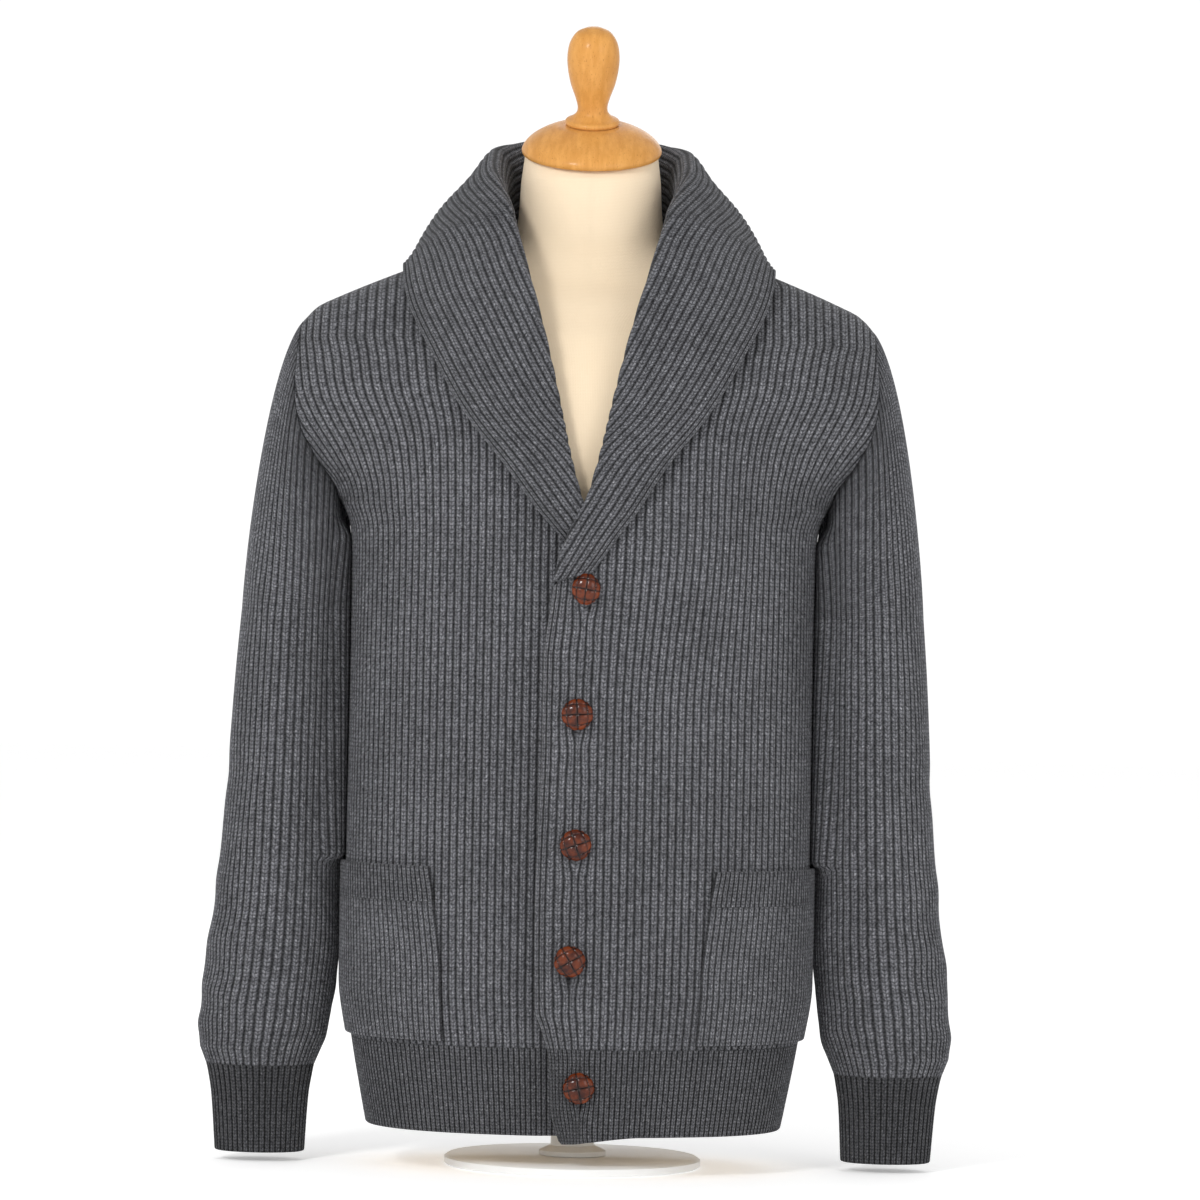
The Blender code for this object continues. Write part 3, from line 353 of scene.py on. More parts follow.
# round each slit the ribs part by a tanh step, close up again above and below it by Gaussians, and
# the slit itself sinks in
def buttonholes(point):
    pull, half = buttons["pullWidth"], buttons["closeHalf"]
    below, above = buttons["closeAt"]
    for x, z in zip(buttons["places"]["across"], buttons["places"]["height"]):
        dx, dz = point[..., 0] - x, point[..., 2] - (z - buttons["slitBelow"])
        beside = np.exp(-(dx / pull) ** 2)
        parted = np.tanh(dx / 1.2) * np.exp(-(np.abs(dz) / (buttons["slitHalf"] + 3)) ** 4)
        closed = np.exp(-((dz - below) / half) ** 2) + 0.6 * np.exp(-((dz - above) / half) ** 2)
        pit = np.exp(-(dx / buttons["slitWidth"]) ** 2 - (np.abs(dz) / buttons["slitHalf"]) ** 4)
        point[..., 0] += beside * (buttons["opening"] * parted - buttons["closing"] * dx / pull * closed)
        point[..., 1] += buttons["slitDepth"] * pit + buttons["sink"] * beside * np.exp(-(dz / 20) ** 2)
    return point


# beside the collar the left front's ribs lean outwards: columns move by a bell over their number,
# growing with height and dying out again before the neck seam
def leanShift(column, height):
    bell = np.exp(-((column - body["leanColumn"]) / body["leanWidth"]) ** 2)
    seam = lookUp(body["neckSeam"], "height", column, "column")
    seam = np.where(column < body["neckSeam"]["column"][-1], seam, 700)
    grown = ease(height, body["leanFrom"], body["leanTo"])
    return body["lean"] * bell * grown * ease(seam - height, 0, 14)


# the left or right front without its folds: the body's point, lifted by the lap on the left
def plainFront(column, height, side):
    point = bodyPoint(freeEdgeShift(column, height, side), height, "front")
    if side > 0:
        point[..., 1] -= lapLift(point[..., 0], point[..., 2])
    point[..., 0] *= side
    return point


# how far the folds stand out: their sum, eased out round the sides and towards the shoulders
def foldsAt(point, rows, ends):
    flat = ease(body["sections"]["halfWidth"][0] - np.abs(point[..., 0]), *body["foldsBeside"])
    low = 1 - ease(point[..., 2], *ends)
    return foldRise(point[..., 0], point[..., 2], rows) * flat * low


# side is +1 for the wearer's left front and -1 for the right; along the left one's free edge that
# one lifts and the right one sinks, each by a Gaussian across, and the folds come on top
def frontPoint(column, height, side):
    if side > 0:
        column = column + leanShift(column, height)
    point = plainFront(column, height, side)
    level = point[..., 2]
    fromLap = point[..., 0] + lookUp(body["freeEdge"], "across", level)
    if side > 0:
        ridge = np.exp(-(fromLap / body["edgeWidth"]) ** 2)
        point[..., 1] -= body["edgeLift"] * ridge * (1 - ease(level, *body["edgeEnds"]))
    else:
        dip = np.exp(-((fromLap + 5) / body["hollowWidth"]) ** 2)
        point[..., 1] += body["lapHollow"] * dip * (1 - ease(level, *body["hollowEnds"]))
    point[..., 1] -= foldsAt(point, body["folds"], body["foldsEnd"])
    return point


# the back: the body's point moved out by the folds
def backPoint(column, height):
    point = bodyPoint(column, height, "back")
    point[..., 1] += foldsAt(point, body["backFolds"], body["backFoldsEnd"])
    return point


# the left front with its buttonholes
def leftSurface(column, height):
    return buttonholes(frontPoint(column, height, 1))


# the right front, which has none
def rightSurface(column, height):
    return frontPoint(column, height, -1)


# ---- meshes

# normals of a grid of points, from its own differences, all turned the way that faces out
def gridNormals(grid, outward, closed=False):
    if closed:
        across = np.roll(grid, -1, axis=1) - np.roll(grid, 1, axis=1)
    else:
        across = np.gradient(grid, axis=1)
    normals = unit(np.cross(across, np.gradient(grid, axis=0)))
    return normals * (-1 if (normals * outward).sum() < 0 else 1)


# triangles between a fine row of points and a coarse one that keeps every step-th of them
def rimFaces(fine, coarse, step):
    owner = np.repeat(coarse[:-1], step)
    fan = np.stack([fine[1:], fine[:-1], owner], axis=-1)
    bridge = np.stack([coarse[:-1], coarse[1:], fine[step::step]], axis=-1)
    return np.vstack([fan, bridge])


# one quad for each cell of a grid of point numbers
def gridFaces(index):
    corners = [index[:-1, :-1], index[:-1, 1:], index[1:, 1:], index[1:, :-1]]
    return np.stack(corners, axis=-1).reshape(-1, 4)


# rings of points closed at both ends by a fan of triangles round one point each
def ringsAndPoles(grid, first, last):
    index = np.arange(grid[..., 0].size).reshape(grid.shape[:2])
    index = np.hstack([index, index[:, :1]])
    points = np.vstack([grid.reshape(-1, 3), first, last])
    pole = np.full(grid.shape[1], len(points) - 1)
    low = np.stack([pole - 1, index[0, 1:], index[0, :-1]], axis=-1)
    high = np.stack([pole, index[-1, :-1], index[-1, 1:]], axis=-1)
    return points, gridFaces(index), np.vstack([low, high])


# a piece from points in millimetres, four- and three-cornered faces and texture coordinates;
# vertexOf gives the point of each corner number, as a seam has two corners on one point
def makeMesh(name, points, quads, tris, uv, vertexOf, material, sharp=50):
    mesh = bpy.data.meshes.new(name)
    mesh.vertices.add(len(points))
    mesh.vertices.foreach_set("co", (np.asarray(points) * mm).astype(np.float32).ravel())
    corners = np.concatenate([quads.ravel(), tris.ravel()])
    mesh.loops.add(len(corners))
    mesh.loops.foreach_set("vertex_index", vertexOf[corners].astype(np.int32))
    starts = np.concatenate([4 * np.arange(len(quads)), quads.size + 3 * np.arange(len(tris))])
    mesh.polygons.add(len(starts))
    mesh.polygons.foreach_set("loop_start", starts.astype(np.int32))
    layer = mesh.uv_layers.new(name="knit")
    layer.data.foreach_set("uv", uv[corners].astype(np.float32).ravel())
    mesh.update(calc_edges=True)
    mesh.validate()
    mesh.shade_smooth()
    mesh.set_sharp_from_angle(angle=math.radians(sharp))
    piece = bpy.data.objects.new(name, mesh)
    piece.data.materials.append(material)
    scene.collection.objects.link(piece)
    return piece


# a closed wall: a fine outer grid, an inner one that keeps every few rows and columns of it, and
# rims of triangles between their edges
def knitWall(name, outer, inner, steps, uv, material, closed=False, turned=False):
    stepR, stepC = steps
    rows, columns = outer.shape[:2]
    outerIndex = np.arange(rows * columns).reshape(rows, columns)
    innerIndex = outerIndex.size + np.arange(inner[..., 0].size).reshape(inner.shape[:2])
    if closed:
        outerIndex = np.hstack([outerIndex, outerIndex[:, :1]])
        innerIndex = np.hstack([innerIndex, innerIndex[:, :1]])
    vertexOf = np.concatenate([outerIndex.ravel(), innerIndex.ravel()])
    a = np.arange(outerIndex.size).reshape(outerIndex.shape)
    b = a.size + np.arange(innerIndex.size).reshape(innerIndex.shape)
    quads = np.vstack([gridFaces(a), gridFaces(b[:, ::-1])])
    rims = [rimFaces(a[0], b[0], stepC), rimFaces(a[-1], b[-1], stepC)[:, ::-1]]
    if not closed:
        rims += [rimFaces(a[:, -1], b[:, -1], stepR), rimFaces(a[:, 0], b[:, 0], stepR)[:, ::-1]]
    tris = np.vstack(rims)
    if turned:
        quads, tris = quads[:, ::-1], tris[:, ::-1]
    points = np.vstack([outer.reshape(-1, 3), inner.reshape(-1, 3)])
    uvPoints = np.vstack([uv.reshape(-1, 2), uv[::stepR, ::stepC].reshape(-1, 2)])
    return makeMesh(name, points, quads, tris, uvPoints, vertexOf, material)


# how far a free edge falls back: a quarter circle over its last few millimetres
def edgeFall(distance, radius):
    share = 1 - np.clip(distance / radius, 0, 1)
    return radius * (1 - np.sqrt(np.clip(1 - share**2, 0, 1)))


print("shapes of the body are ready")

# ---- materials

# a node tree written as nested calls: each adds one node and returns the socket that goes on
class Nodes:
    def __init__(self, name):
        self.material = bpy.data.materials.new(name)
        self.material.use_nodes = True
        self.tree = self.material.node_tree
        self.shader = self.tree.nodes["Principled BSDF"]

    def add(self, kind, **settings):
        node = self.tree.nodes.new(kind)
        for key, value in settings.items():
            setattr(node, key, value)
        return node

    # a socket is linked, and anything else is set
    def put(self, socket, value):
        if isinstance(value, bpy.types.NodeSocket):
            self.tree.links.new(value, socket)
        else:
            socket.default_value = value

    # one arithmetic step between sockets or numbers
    def math(self, operation, *values):
        node = self.add("ShaderNodeMath", operation=operation)
        for socket, value in zip(node.inputs, values):
            self.put(socket, value)
        return node.outputs[0]

    def times(self, first, second):
        return self.math("MULTIPLY", first, second)

    def plus(self, first, second):
        return self.math("ADD", first, second)

    def minus(self, first, second):
        return self.math("SUBTRACT", first, second)

    # the place on the piece, in metres
    def position(self):
        return self.add("ShaderNodeTexCoord").outputs["Object"]

    # ribs counted across and stitches counted up
    def knitPlace(self):
        split = self.add("ShaderNodeSeparateXYZ")
        self.put(split.inputs[0], self.add("ShaderNodeUVMap", uv_map="knit").outputs[0])
        return split.outputs[0], split.outputs[1]

    def noise(self, vector, scale, detail=3.0, roughness=0.55):
        node = self.add("ShaderNodeTexNoise")
        self.put(node.inputs["Vector"], vector)
        self.put(node.inputs["Scale"], scale)
        self.put(node.inputs["Detail"], detail)
        self.put(node.inputs["Roughness"], roughness)
        return node.outputs["Fac"]

    # a smooth step: start where the value is low, end where it is high
    def spread(self, value, low, high, start=0.0, end=1.0):
        node = self.add("ShaderNodeMapRange", interpolation_type="SMOOTHSTEP")
        for socket, item in zip(node.inputs, (value, low, high, start, end)):
            self.put(socket, item)
        return node.outputs[0]

    # two colours by a share of the second
    def mix(self, share, first, second):
        node = self.add("ShaderNodeMix", data_type="RGBA")
        self.put(node.inputs[0], share)
        for socket, colour in ((node.inputs[6], first), (node.inputs[7], second)):
            self.put(socket, colour if isinstance(colour, bpy.types.NodeSocket) else (*colour, 1))
        return node.outputs[2]

    def scaled(self, vector, by):
        node = self.add("ShaderNodeVectorMath", operation="MULTIPLY")
        self.put(node.inputs[0], vector)
        node.inputs[1].default_value = by
        return node.outputs[0]

    # height in metres as a change of the normal, over another one if it is given
    def bump(self, height, distance, strength=1.0, under=None):
        node = self.add("ShaderNodeBump")
        self.put(node.inputs["Height"], height)
        node.inputs["Distance"].default_value = distance
        node.inputs["Strength"].default_value = strength
        if under is not None:
            self.put(node.inputs["Normal"], under)
        return node.outputs["Normal"]

    # the shader's own sockets; an underscore in a setting's name stands for a space
    def finish(self, colour, roughness, normal, **settings):
        self.put(self.shader.inputs["Base Color"], colour)
        self.put(self.shader.inputs["Roughness"], roughness)
        self.put(self.shader.inputs["Normal"], normal)
        for key, value in settings.items():
            self.shader.inputs[key.replace("_", " ")].default_value = value
        return self.material


# the wool's colours; the valley and strand settings set how dark the painted shade goes in the rib valleys
# and beside the strands' tops
wool = {
    "strand": (0.136, 0.138, 0.151), "lightFleck": (0.38, 0.38, 0.40), "darkFleck": (0.018, 0.019, 0.023),
    "valleyPaintedShade": 0.20, "valleyWidth": (0.40, 0.90), "strandPaintedShade": 0.38,
    "relief": 0.0009, "fuzz": 0.00022, "roughness": 0.95, "fleck": 760.0, "marl": 520.0,
    "slant": 0.62, "wander": 0.9, "legShades": (0.80, 1.20), "lightMost": 0.5, "darkMost": 0.7,
}


# stitches are V shapes: a strand's height is sin(pi t)^0.7, with t running up each leg of the V;
# each leg has its own lightness, and the colour is the strand's, marled with light and dark flecks,
# times painted light and shade: the strands' tops lighter and the middle groove darker, and painted
# shade in the valley, where it is dotted once for each stitch
def knitMaterial(name, tint=1.0, relief=1.0, valleyLight=1.0):
    n = Nodes(name)
    across, up = n.knitPlace()
    spot = n.position()
    wander = n.times(n.minus(n.noise(spot, 260.0, 3.0, 0.6), 0.5), wool["wander"])
    rib = n.plus(across, n.times(wander, 0.3))
    beside = n.minus(n.times(n.math("FRACT", rib), 2.0), 1.0)
    side = n.math("ABSOLUTE", beside)
    rise = n.minus(n.plus(up, wander), n.times(side, wool["slant"]))
    wave = n.math("SINE", n.times(n.math("FRACT", rise), math.pi))
    strand = n.math("POWER", n.math("ABSOLUTE", wave), 0.7)
    groove = n.spread(side, 0.0, 0.22, 0.3, 1.0)
    valley = n.spread(side, *wool["valleyWidth"], 1.0, 0.0)
    height = n.times(n.times(strand, groove), n.plus(n.times(valley, 0.7), 0.3))
    which = n.add("ShaderNodeCombineXYZ")
    n.put(which.inputs[0], n.plus(n.math("FLOOR", rib), n.times(n.math("SIGN", beside), 0.25)))
    n.put(which.inputs[1], n.math("FLOOR", rise))
    leg = n.add("ShaderNodeTexWhiteNoise", noise_dimensions="2D")
    n.put(leg.inputs["Vector"], which.outputs[0])
    legShade = n.spread(leg.outputs["Value"], 0.0, 1.0, *wool["legShades"])
    fibre = n.noise(n.scaled(spot, (1.0, 1.0, 1.4)), 1300.0, 3.0, 0.7)
    light = n.spread(n.noise(spot, wool["fleck"], 3.0, 0.7), 0.52, 0.66)
    dark = n.spread(n.noise(n.scaled(spot, (1.2, 0.9, 1.1)), wool["marl"], 4.0, 0.7), 0.50, 0.66)
    cloudy = n.spread(n.noise(spot, 14.0, 3.0), 0.3, 0.7, 0.9, 1.08)
    plain, fleck = (tuple(c * tint for c in wool[key]) for key in ("strand", "lightFleck"))
    colour = n.mix(n.times(light, wool["lightMost"]), plain, fleck)
    colour = n.mix(n.times(dark, wool["darkMost"]), colour, wool["darkFleck"])
    # painted shade on the valley floor, lighter once for each stitch where its bumps catch the light
    dots = n.spread(n.math("COSINE", n.times(rise, 2 * math.pi)), -0.6, 0.9, 0.5, 2.1)
    floor = n.times(dots, wool["valleyPaintedShade"] * valleyLight)
    shade = n.plus(n.times(valley, n.minus(1.0, floor)), floor)
    # painted light and shade: the strands' tops lighter, their sides and the middle groove darker
    lit = n.spread(n.times(strand, groove), 0.1, 0.85, wool["strandPaintedShade"], 1.15)
    shade = n.times(n.times(shade, n.times(lit, legShade)), cloudy)
    bright = n.add("ShaderNodeHueSaturation")
    n.put(bright.inputs["Color"], colour)
    n.put(bright.inputs["Value"], n.times(shade, n.spread(fibre, 0.25, 0.75, 0.7, 1.3)))
    normal = n.bump(fibre, wool["fuzz"], 1.0, n.bump(height, wool["relief"] * relief))
    return n.finish(bright.outputs[0], wool["roughness"], normal, Sheen_Weight=0.10,
                    Sheen_Roughness=0.5, Specular_IOR_Level=0.1)


# dark to light is the leather's own range, the light end also painted light at the rim; the groove colour is
# painted shade between the straps
leather = {
    "dark": (0.030, 0.0045, 0.002), "light": (0.27, 0.048, 0.005), "groove": (0.003, 0.0012, 0.001),
    "roughness": 0.2, "grain": 0.00004, "coat": 0.55, "coatRoughness": 0.15,
}


# dark leather, lighter by worn patches and by painted light towards the rim, with painted shade
# darkening each strap towards its edges and most where the straps meet; its grain is the distance
# to the nearest cell edge
def leatherMaterial():
    n = Nodes("wovenLeather")
    strapHeight, reach = n.knitPlace()
    spot = n.position()
    worn = n.spread(n.noise(spot, 130.0, 4.0), 0.3, 0.72)
    # painted light: the rim is painted lighter
    outer = n.spread(reach, 0.35, 1.0)
    share = n.math("MINIMUM", n.plus(n.times(worn, 0.45), n.times(outer, 0.65)), 1.0)
    colour = n.mix(share, leather["dark"], leather["light"])
    # painted shade: each strap darkened towards its edges, most where the straps meet
    colour = n.mix(n.spread(strapHeight, 0.05, 1.05), leather["groove"], colour)
    cells = n.add("ShaderNodeTexVoronoi", feature="DISTANCE_TO_EDGE")
    n.put(cells.inputs["Vector"], spot)
    cells.inputs["Scale"].default_value = 1500.0
    normal = n.bump(n.spread(cells.outputs["Distance"], 0.0, 0.12), leather["grain"], 0.6)
    normal = n.bump(n.noise(spot, 500.0, 4.0), 0.0001, 0.8, normal)
    rough = n.spread(worn, 0.0, 1.0, leather["roughness"], leather["roughness"] + 0.16)
    return n.finish(colour, rough, normal, Coat_Weight=leather["coat"],
                    Coat_Roughness=leather["coatRoughness"], Specular_IOR_Level=0.05)


linen = {"light": (0.91, 0.755, 0.56), "dark": (0.84, 0.67, 0.46), "relief": 0.00012, "thread": 1.1}


# plain weave: two sets of sine threads, one over the other at alternate crossings
def linenMaterial():
    n = Nodes("creamCover")
    warp, weft = (n.math("SINE", n.times(place, math.pi)) for place in n.knitPlace())
    spot = n.position()
    over = n.spread(n.times(warp, weft), -0.2, 0.2)
    upper = n.times(n.math("ABSOLUTE", warp), over)
    thread = n.plus(upper, n.times(n.math("ABSOLUTE", weft), n.minus(1.0, over)))
    slub = n.noise(n.scaled(spot, (1.0, 1.0, 0.08)), 620.0, 3.0)
    stain = n.spread(n.noise(spot, 9.0, 4.0), 0.3, 0.75, 0.0, 0.5)
    # painted shade between the threads: darker where a thread lies low, lighter on its top
    colour = n.mix(n.spread(thread, 0.1, 0.9), linen["dark"], linen["light"])
    colour = n.mix(n.plus(n.times(slub, 0.3), stain), colour, linen["dark"])
    normal = n.bump(slub, 0.0001, 0.5, n.bump(thread, linen["relief"]))
    return n.finish(colour, 0.85, normal, Sheen_Weight=0.15)


beech = {
    "light": (0.66, 0.325, 0.088), "dark": (0.54, 0.245, 0.056), "pore": (0.26, 0.09, 0.018),
    "roughness": 0.3, "coat": 0.1,
}


# growth rings cut at a slant, with short dark pores along the grain
def beechMaterial():
    n = Nodes("turnedBeech")
    spot = n.position()
    rings = n.noise(n.scaled(spot, (0.9, 0.35, 0.2)), 190.0, 4.0, 0.6)
    streaks = n.noise(n.scaled(spot, (1.0, 1.0, 0.12)), 900.0, 3.0, 0.6)
    pores = n.spread(n.noise(n.scaled(spot, (1.0, 1.0, 0.16)), 1500.0, 1.0), 0.66, 0.74)
    colour = n.mix(n.spread(rings, 0.3, 0.7), beech["dark"], beech["light"])
    colour = n.mix(n.times(n.spread(streaks, 0.35, 0.75), 0.35), colour, beech["dark"])
    colour = n.mix(n.times(pores, 0.7), colour, beech["pore"])
    normal = n.bump(n.minus(1.0, pores), 0.00006, 0.7)
    rough = n.spread(n.noise(spot, 35.0, 4.0), 0.3, 0.7, beech["roughness"], beech["roughness"] + 0.14)
    return n.finish(colour, rough, normal, Coat_Weight=beech["coat"], Coat_Roughness=0.12,
                    Specular_IOR_Level=0.12)


paint = {"white": (0.80, 0.80, 0.79), "rubbed": (0.66, 0.65, 0.62)}


# white, rubbed duller in patches, with the fine dimples of sprayed paint
def paintMaterial():
    n = Nodes("whitePaint")
    spot = n.position()
    rub = n.spread(n.noise(spot, 24.0, 5.0), 0.56, 0.8, 0.0, 0.35)
    dimples = n.noise(spot, 700.0, 2.0)
    rough = n.spread(dimples, 0.3, 0.7, 0.36, 0.48)
    colour = n.mix(rub, paint["white"], paint["rubbed"])
    return n.finish(colour, rough, n.bump(dimples, 0.00005, 0.6), Coat_Weight=0.1)


bodyKnit = knitMaterial("charcoalKnit")
# the hem's and the cuffs' copies are darker by painted shade, as less light falls low down, and their
# valleys take deeper painted shade
hemKnitPaintedShade = knitMaterial("charcoalHemKnitPaintedShade", 0.76, 1.2, 0.4)
cuffKnitPaintedShade = knitMaterial("charcoalCuffKnitPaintedShade", 0.46, 1.2, 0.5)
bandKnit = knitMaterial("charcoalBandKnit", 0.92, 1.1, 0.7)
collarKnit = knitMaterial("charcoalCollarKnit", 0.91)
leatherCover = leatherMaterial()
cover = linenMaterial()
turnedBeech = beechMaterial()
whitePaint = paintMaterial()
print("materials are ready")

# ---- fronts and back

panels = {
    "rowStep": 3.0, "innerEvery": (6, 5), "edgeRadius": 3.0,
    "flattened": 0.9, "flatFrom": 0.985,     # the ribs flatten at the shoulder and armhole seams
    "turnsFrom": 0.94, "shoulderReach": 12,  # the wall turns into the armhole's seam
    "cuts": {                                # name, flat size and area
        "front_left": ("leftFront", (0.28, 0.625), 0.156),
        "front_right": ("rightFront", (0.28, 0.625), 0.156),
        "back": ("backPanel", (0.51, 0.625), 0.31),
    },
}


# area of a grid of points, in square metres
def gridArea(grid):
    a, b = np.diff(grid, axis=0)[:, :-1], np.diff(grid, axis=1)[:-1]
    return float(np.linalg.norm(np.cross(a, b), axis=-1).sum()) * mm * mm


# every piece stays with the root body and takes the place of its solid
def enter(piece, node):
    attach(piece, "root")
    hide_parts(node)


# a wall of cloth between two grids, of which the inner one keeps every few rows and columns; a tube
# has a count of ribs round it, and one more column of texture coordinates, so that its seam joins up.
# Its cut in metres is given as name, flat size and area; the flat size is not used. base is its surface,
# measured for the print
def buildCloth(node, cut, outer, inner, every, uv, material, base,
               turned=False, ribs=0):
    name, flat, area = cut
    if ribs:
        uv = np.concatenate([uv, uv[:, :1] + (ribs, 0)], axis=1)
    piece = knitWall(name, outer, inner[::every[0], ::every[1]], every, uv, material, ribs > 0, turned)
    enter(piece, node)
    print(f"{name}: {len(piece.data.polygons)} faces, {gridArea(base):.4f} of {area} square metres")


# direction from the inside to the outside of the cloth at the armhole seam: away from the
# armhole's centre, and more to the side the higher it is
def armholeRim(points):
    y, z = points[..., 1], points[..., 2] - body["armholeCentre"]
    radial = unit(np.stack([0 * y, y, z], axis=-1))
    radial[..., 0] = 0.45 * (1 + radial[..., 2]) * np.sign(points[..., 0])
    return unit(radial)


# rows rise straight to the turn, then each column's own top is reached by even shares
def panelRows(columns, side):
    top = columnTop(columns, side)
    low = knit["seamGap"] / 2 + body["hemSeam"]
    straight = np.linspace(low, body["turn"], round((body["turn"] - low) / panels["rowStep"]) + 1)
    shares = np.linspace(0, 1, round((body["shoulderTip"] - body["turn"]) / panels["rowStep"]) + 1)[1:, None]
    above = body["turn"] + shares * (top[None, :] - body["turn"])
    rows = np.vstack([straight[:, None] + 0 * columns[None, :], above])
    spare = (len(rows) - 1) % panels["innerEvery"][0]
    return np.vstack([rows[:1], rows[1 + spare:]])


# what is left of the ribs' depth at a share of the way up: 1, and then 1 - 0.9 of an eased step
def ribsLeft(share):
    return 1 - panels["flattened"] * ease(share, panels["flatFrom"], 1.0)


# crest surface minus the rib drop along the normal; near the seams the drop and the wall turn
def buildPanel(node, columns, counts, surface, side, restsOn, hand=1):
    heights = panelRows(columns, side)
    grid = columns[None, :] + 0 * heights
    base = surface(grid, heights)
    centre = bodyAt("centre", heights)
    outward = np.stack([base[..., 0] * 0.6, base[..., 1] - centre, 0 * centre], axis=-1)
    share = np.linspace(0, 1, len(heights))[:, None]
    ended = np.abs(grid) > body["sideColumn"] - body["armhole"]["ended"][-1]
    atTop = (ease(share, panels["turnsFrom"], 1.0) * ended)[..., None]
    normal = unit(gridNormals(base, outward) * (1 - atTop) + armholeRim(base) * atTop)
    onShoulder = (share >= 1) & ~ended & (np.abs(base[..., 1] - centre) < panels["shoulderReach"])
    across = np.abs(base[..., 0])
    fall = shoulderHeight(across - 1) - shoulderHeight(across + 1)
    upward = unit(np.stack([np.sign(base[..., 0]) * fall / 2, 0 * fall, 1 + 0 * fall], axis=-1))
    normal = np.where(onShoulder[..., None], upward, normal)
    drop = knit["depth"] * ribDrop(counts) * ribsLeft(share)
    if side == "front":
        drop = np.maximum(drop, edgeFall(columns - columns[0], panels["edgeRadius"]))
    outer, inner = base - normal * drop[..., None], base - normal * knit["wall"]
    toSeam = knit["seamGap"] / 2 * (-1 if side == "front" else 1)
    for points in (outer, inner):
        near = ((points[..., 1] - centre) / toSeam < 1) | onShoulder
        points[..., 1] = np.where(near, centre + toSeam, points[..., 1])
    buildCloth(node, panels["cuts"][node], outer, inner, panels["innerEvery"], knitPlaces(counts, heights),
               bodyKnit, base, turned=hand < 0)


# the columns of a front, from its free edge to the side
def frontColumns(pitch):
    return ribColumns(-body["overlap"], body["sideColumn"], pitch, knit["selvedgeRibs"])


# the columns of the back, from side to side
def backColumns(pitch):
    columns, counts = ribColumns(-body["sideColumn"], body["sideColumn"], pitch)
    return columns[::-1], counts[::-1]


# both fronts share their columns; the right one is mirrored
def buildPanels():
    front = frontColumns(knit["bodyPitch"])
    buildPanel("front_left", *front, leftSurface, "front", ["form_torso", "front_right"])
    buildPanel("front_right", *front, rightSurface, "front", ["form_torso"], hand=-1)
    buildPanel("back", *backColumns(knit["bodyPitch"]), backPoint, "back", ["form_torso"])


buildPanels()

# ---- hem bands

hem = {
    "rows": (0, 0.5, 1.3, 2.4, 5, 8.5), "rowStep": 3.4, "innerEvery": (4, 5), "edgeRadius": 2.2,
    "sag": 5.5, "corner": 2.5,               # how far the left band's front corner hangs
    "cuts": {
        "hem_front_left": ("leftHemBand", (0.28, 0.067), 0.0187),
        "hem_front_right": ("rightHemBand", (0.28, 0.067), 0.0187),
        "hem_back": ("backHemBand", (0.50, 0.067), 0.0333),
    },
}


# first steps of a rounded edge, then even ones, in a number the inner grid's step divides
def edgeRows(start, end, first, step, every):
    low = start + np.array(first, float)
    count = round((end - low[-1]) / step)
    count += -(len(low) - 1 + count) % every
    return np.concatenate([low[:-1], np.linspace(low[-1], end, count + 1)])


# the surface of the panel above, carried on down; a front corner hangs lower by an eased share
def buildHemBand(node, columns, counts, surface, restsOn, hand=1):
    levels = edgeRows(body["hemEdge"], body["hemSeam"] - knit["seamGap"] / 2, hem["rows"],
                      hem["rowStep"], hem["innerEvery"][0])[:, None]
    heights = levels + 0 * columns
    if node == "hem_front_left":
        corner = hem["corner"] * (1 - ease(columns - columns[0], 0, 6))
        sag = hem["sag"] * (1 - ease(columns, -8, 60)) - corner
        heights = heights - sag * (1 - (levels - levels[0]) / (levels[-1] - levels[0]))
    base = surface(columns + 0 * heights, heights)
    normal = gridNormals(base, base * (1, 1, 0))
    drop = np.maximum(knit["fineDepth"] * ribDrop(counts), edgeFall(levels - levels[0], hem["edgeRadius"]))
    if node != "hem_back":
        drop = np.maximum(drop, edgeFall(columns - columns[0], panels["edgeRadius"]))
    outer, inner = base - normal * drop[..., None], base - normal * knit["wall"]
    toSeam = knit["seamGap"] / 2 * np.sign(base[0, len(columns) // 2, 1])
    for points in (outer, inner):
        points[..., 1] = np.where(points[..., 1] / toSeam < 1, toSeam, points[..., 1])
    uv = knitPlaces(counts, heights, "fineStitch")
    buildCloth(node, hem["cuts"][node], outer, inner, hem["innerEvery"], uv, hemKnitPaintedShade, base,
               turned=hand < 0)


# a band under each panel, in finer ribs
def buildHem():
    front = frontColumns(knit["hemPitch"])
    buildHemBand("hem_front_left", *front, leftSurface, ["leftFront"])
    buildHemBand("hem_front_right", *front, rightSurface, ["rightFront"], hand=-1)
    buildHemBand("hem_back", *backColumns(knit["hemPitch"]), backPoint, ["backPanel"])


buildHem()

# ---- sleeves and cuffs

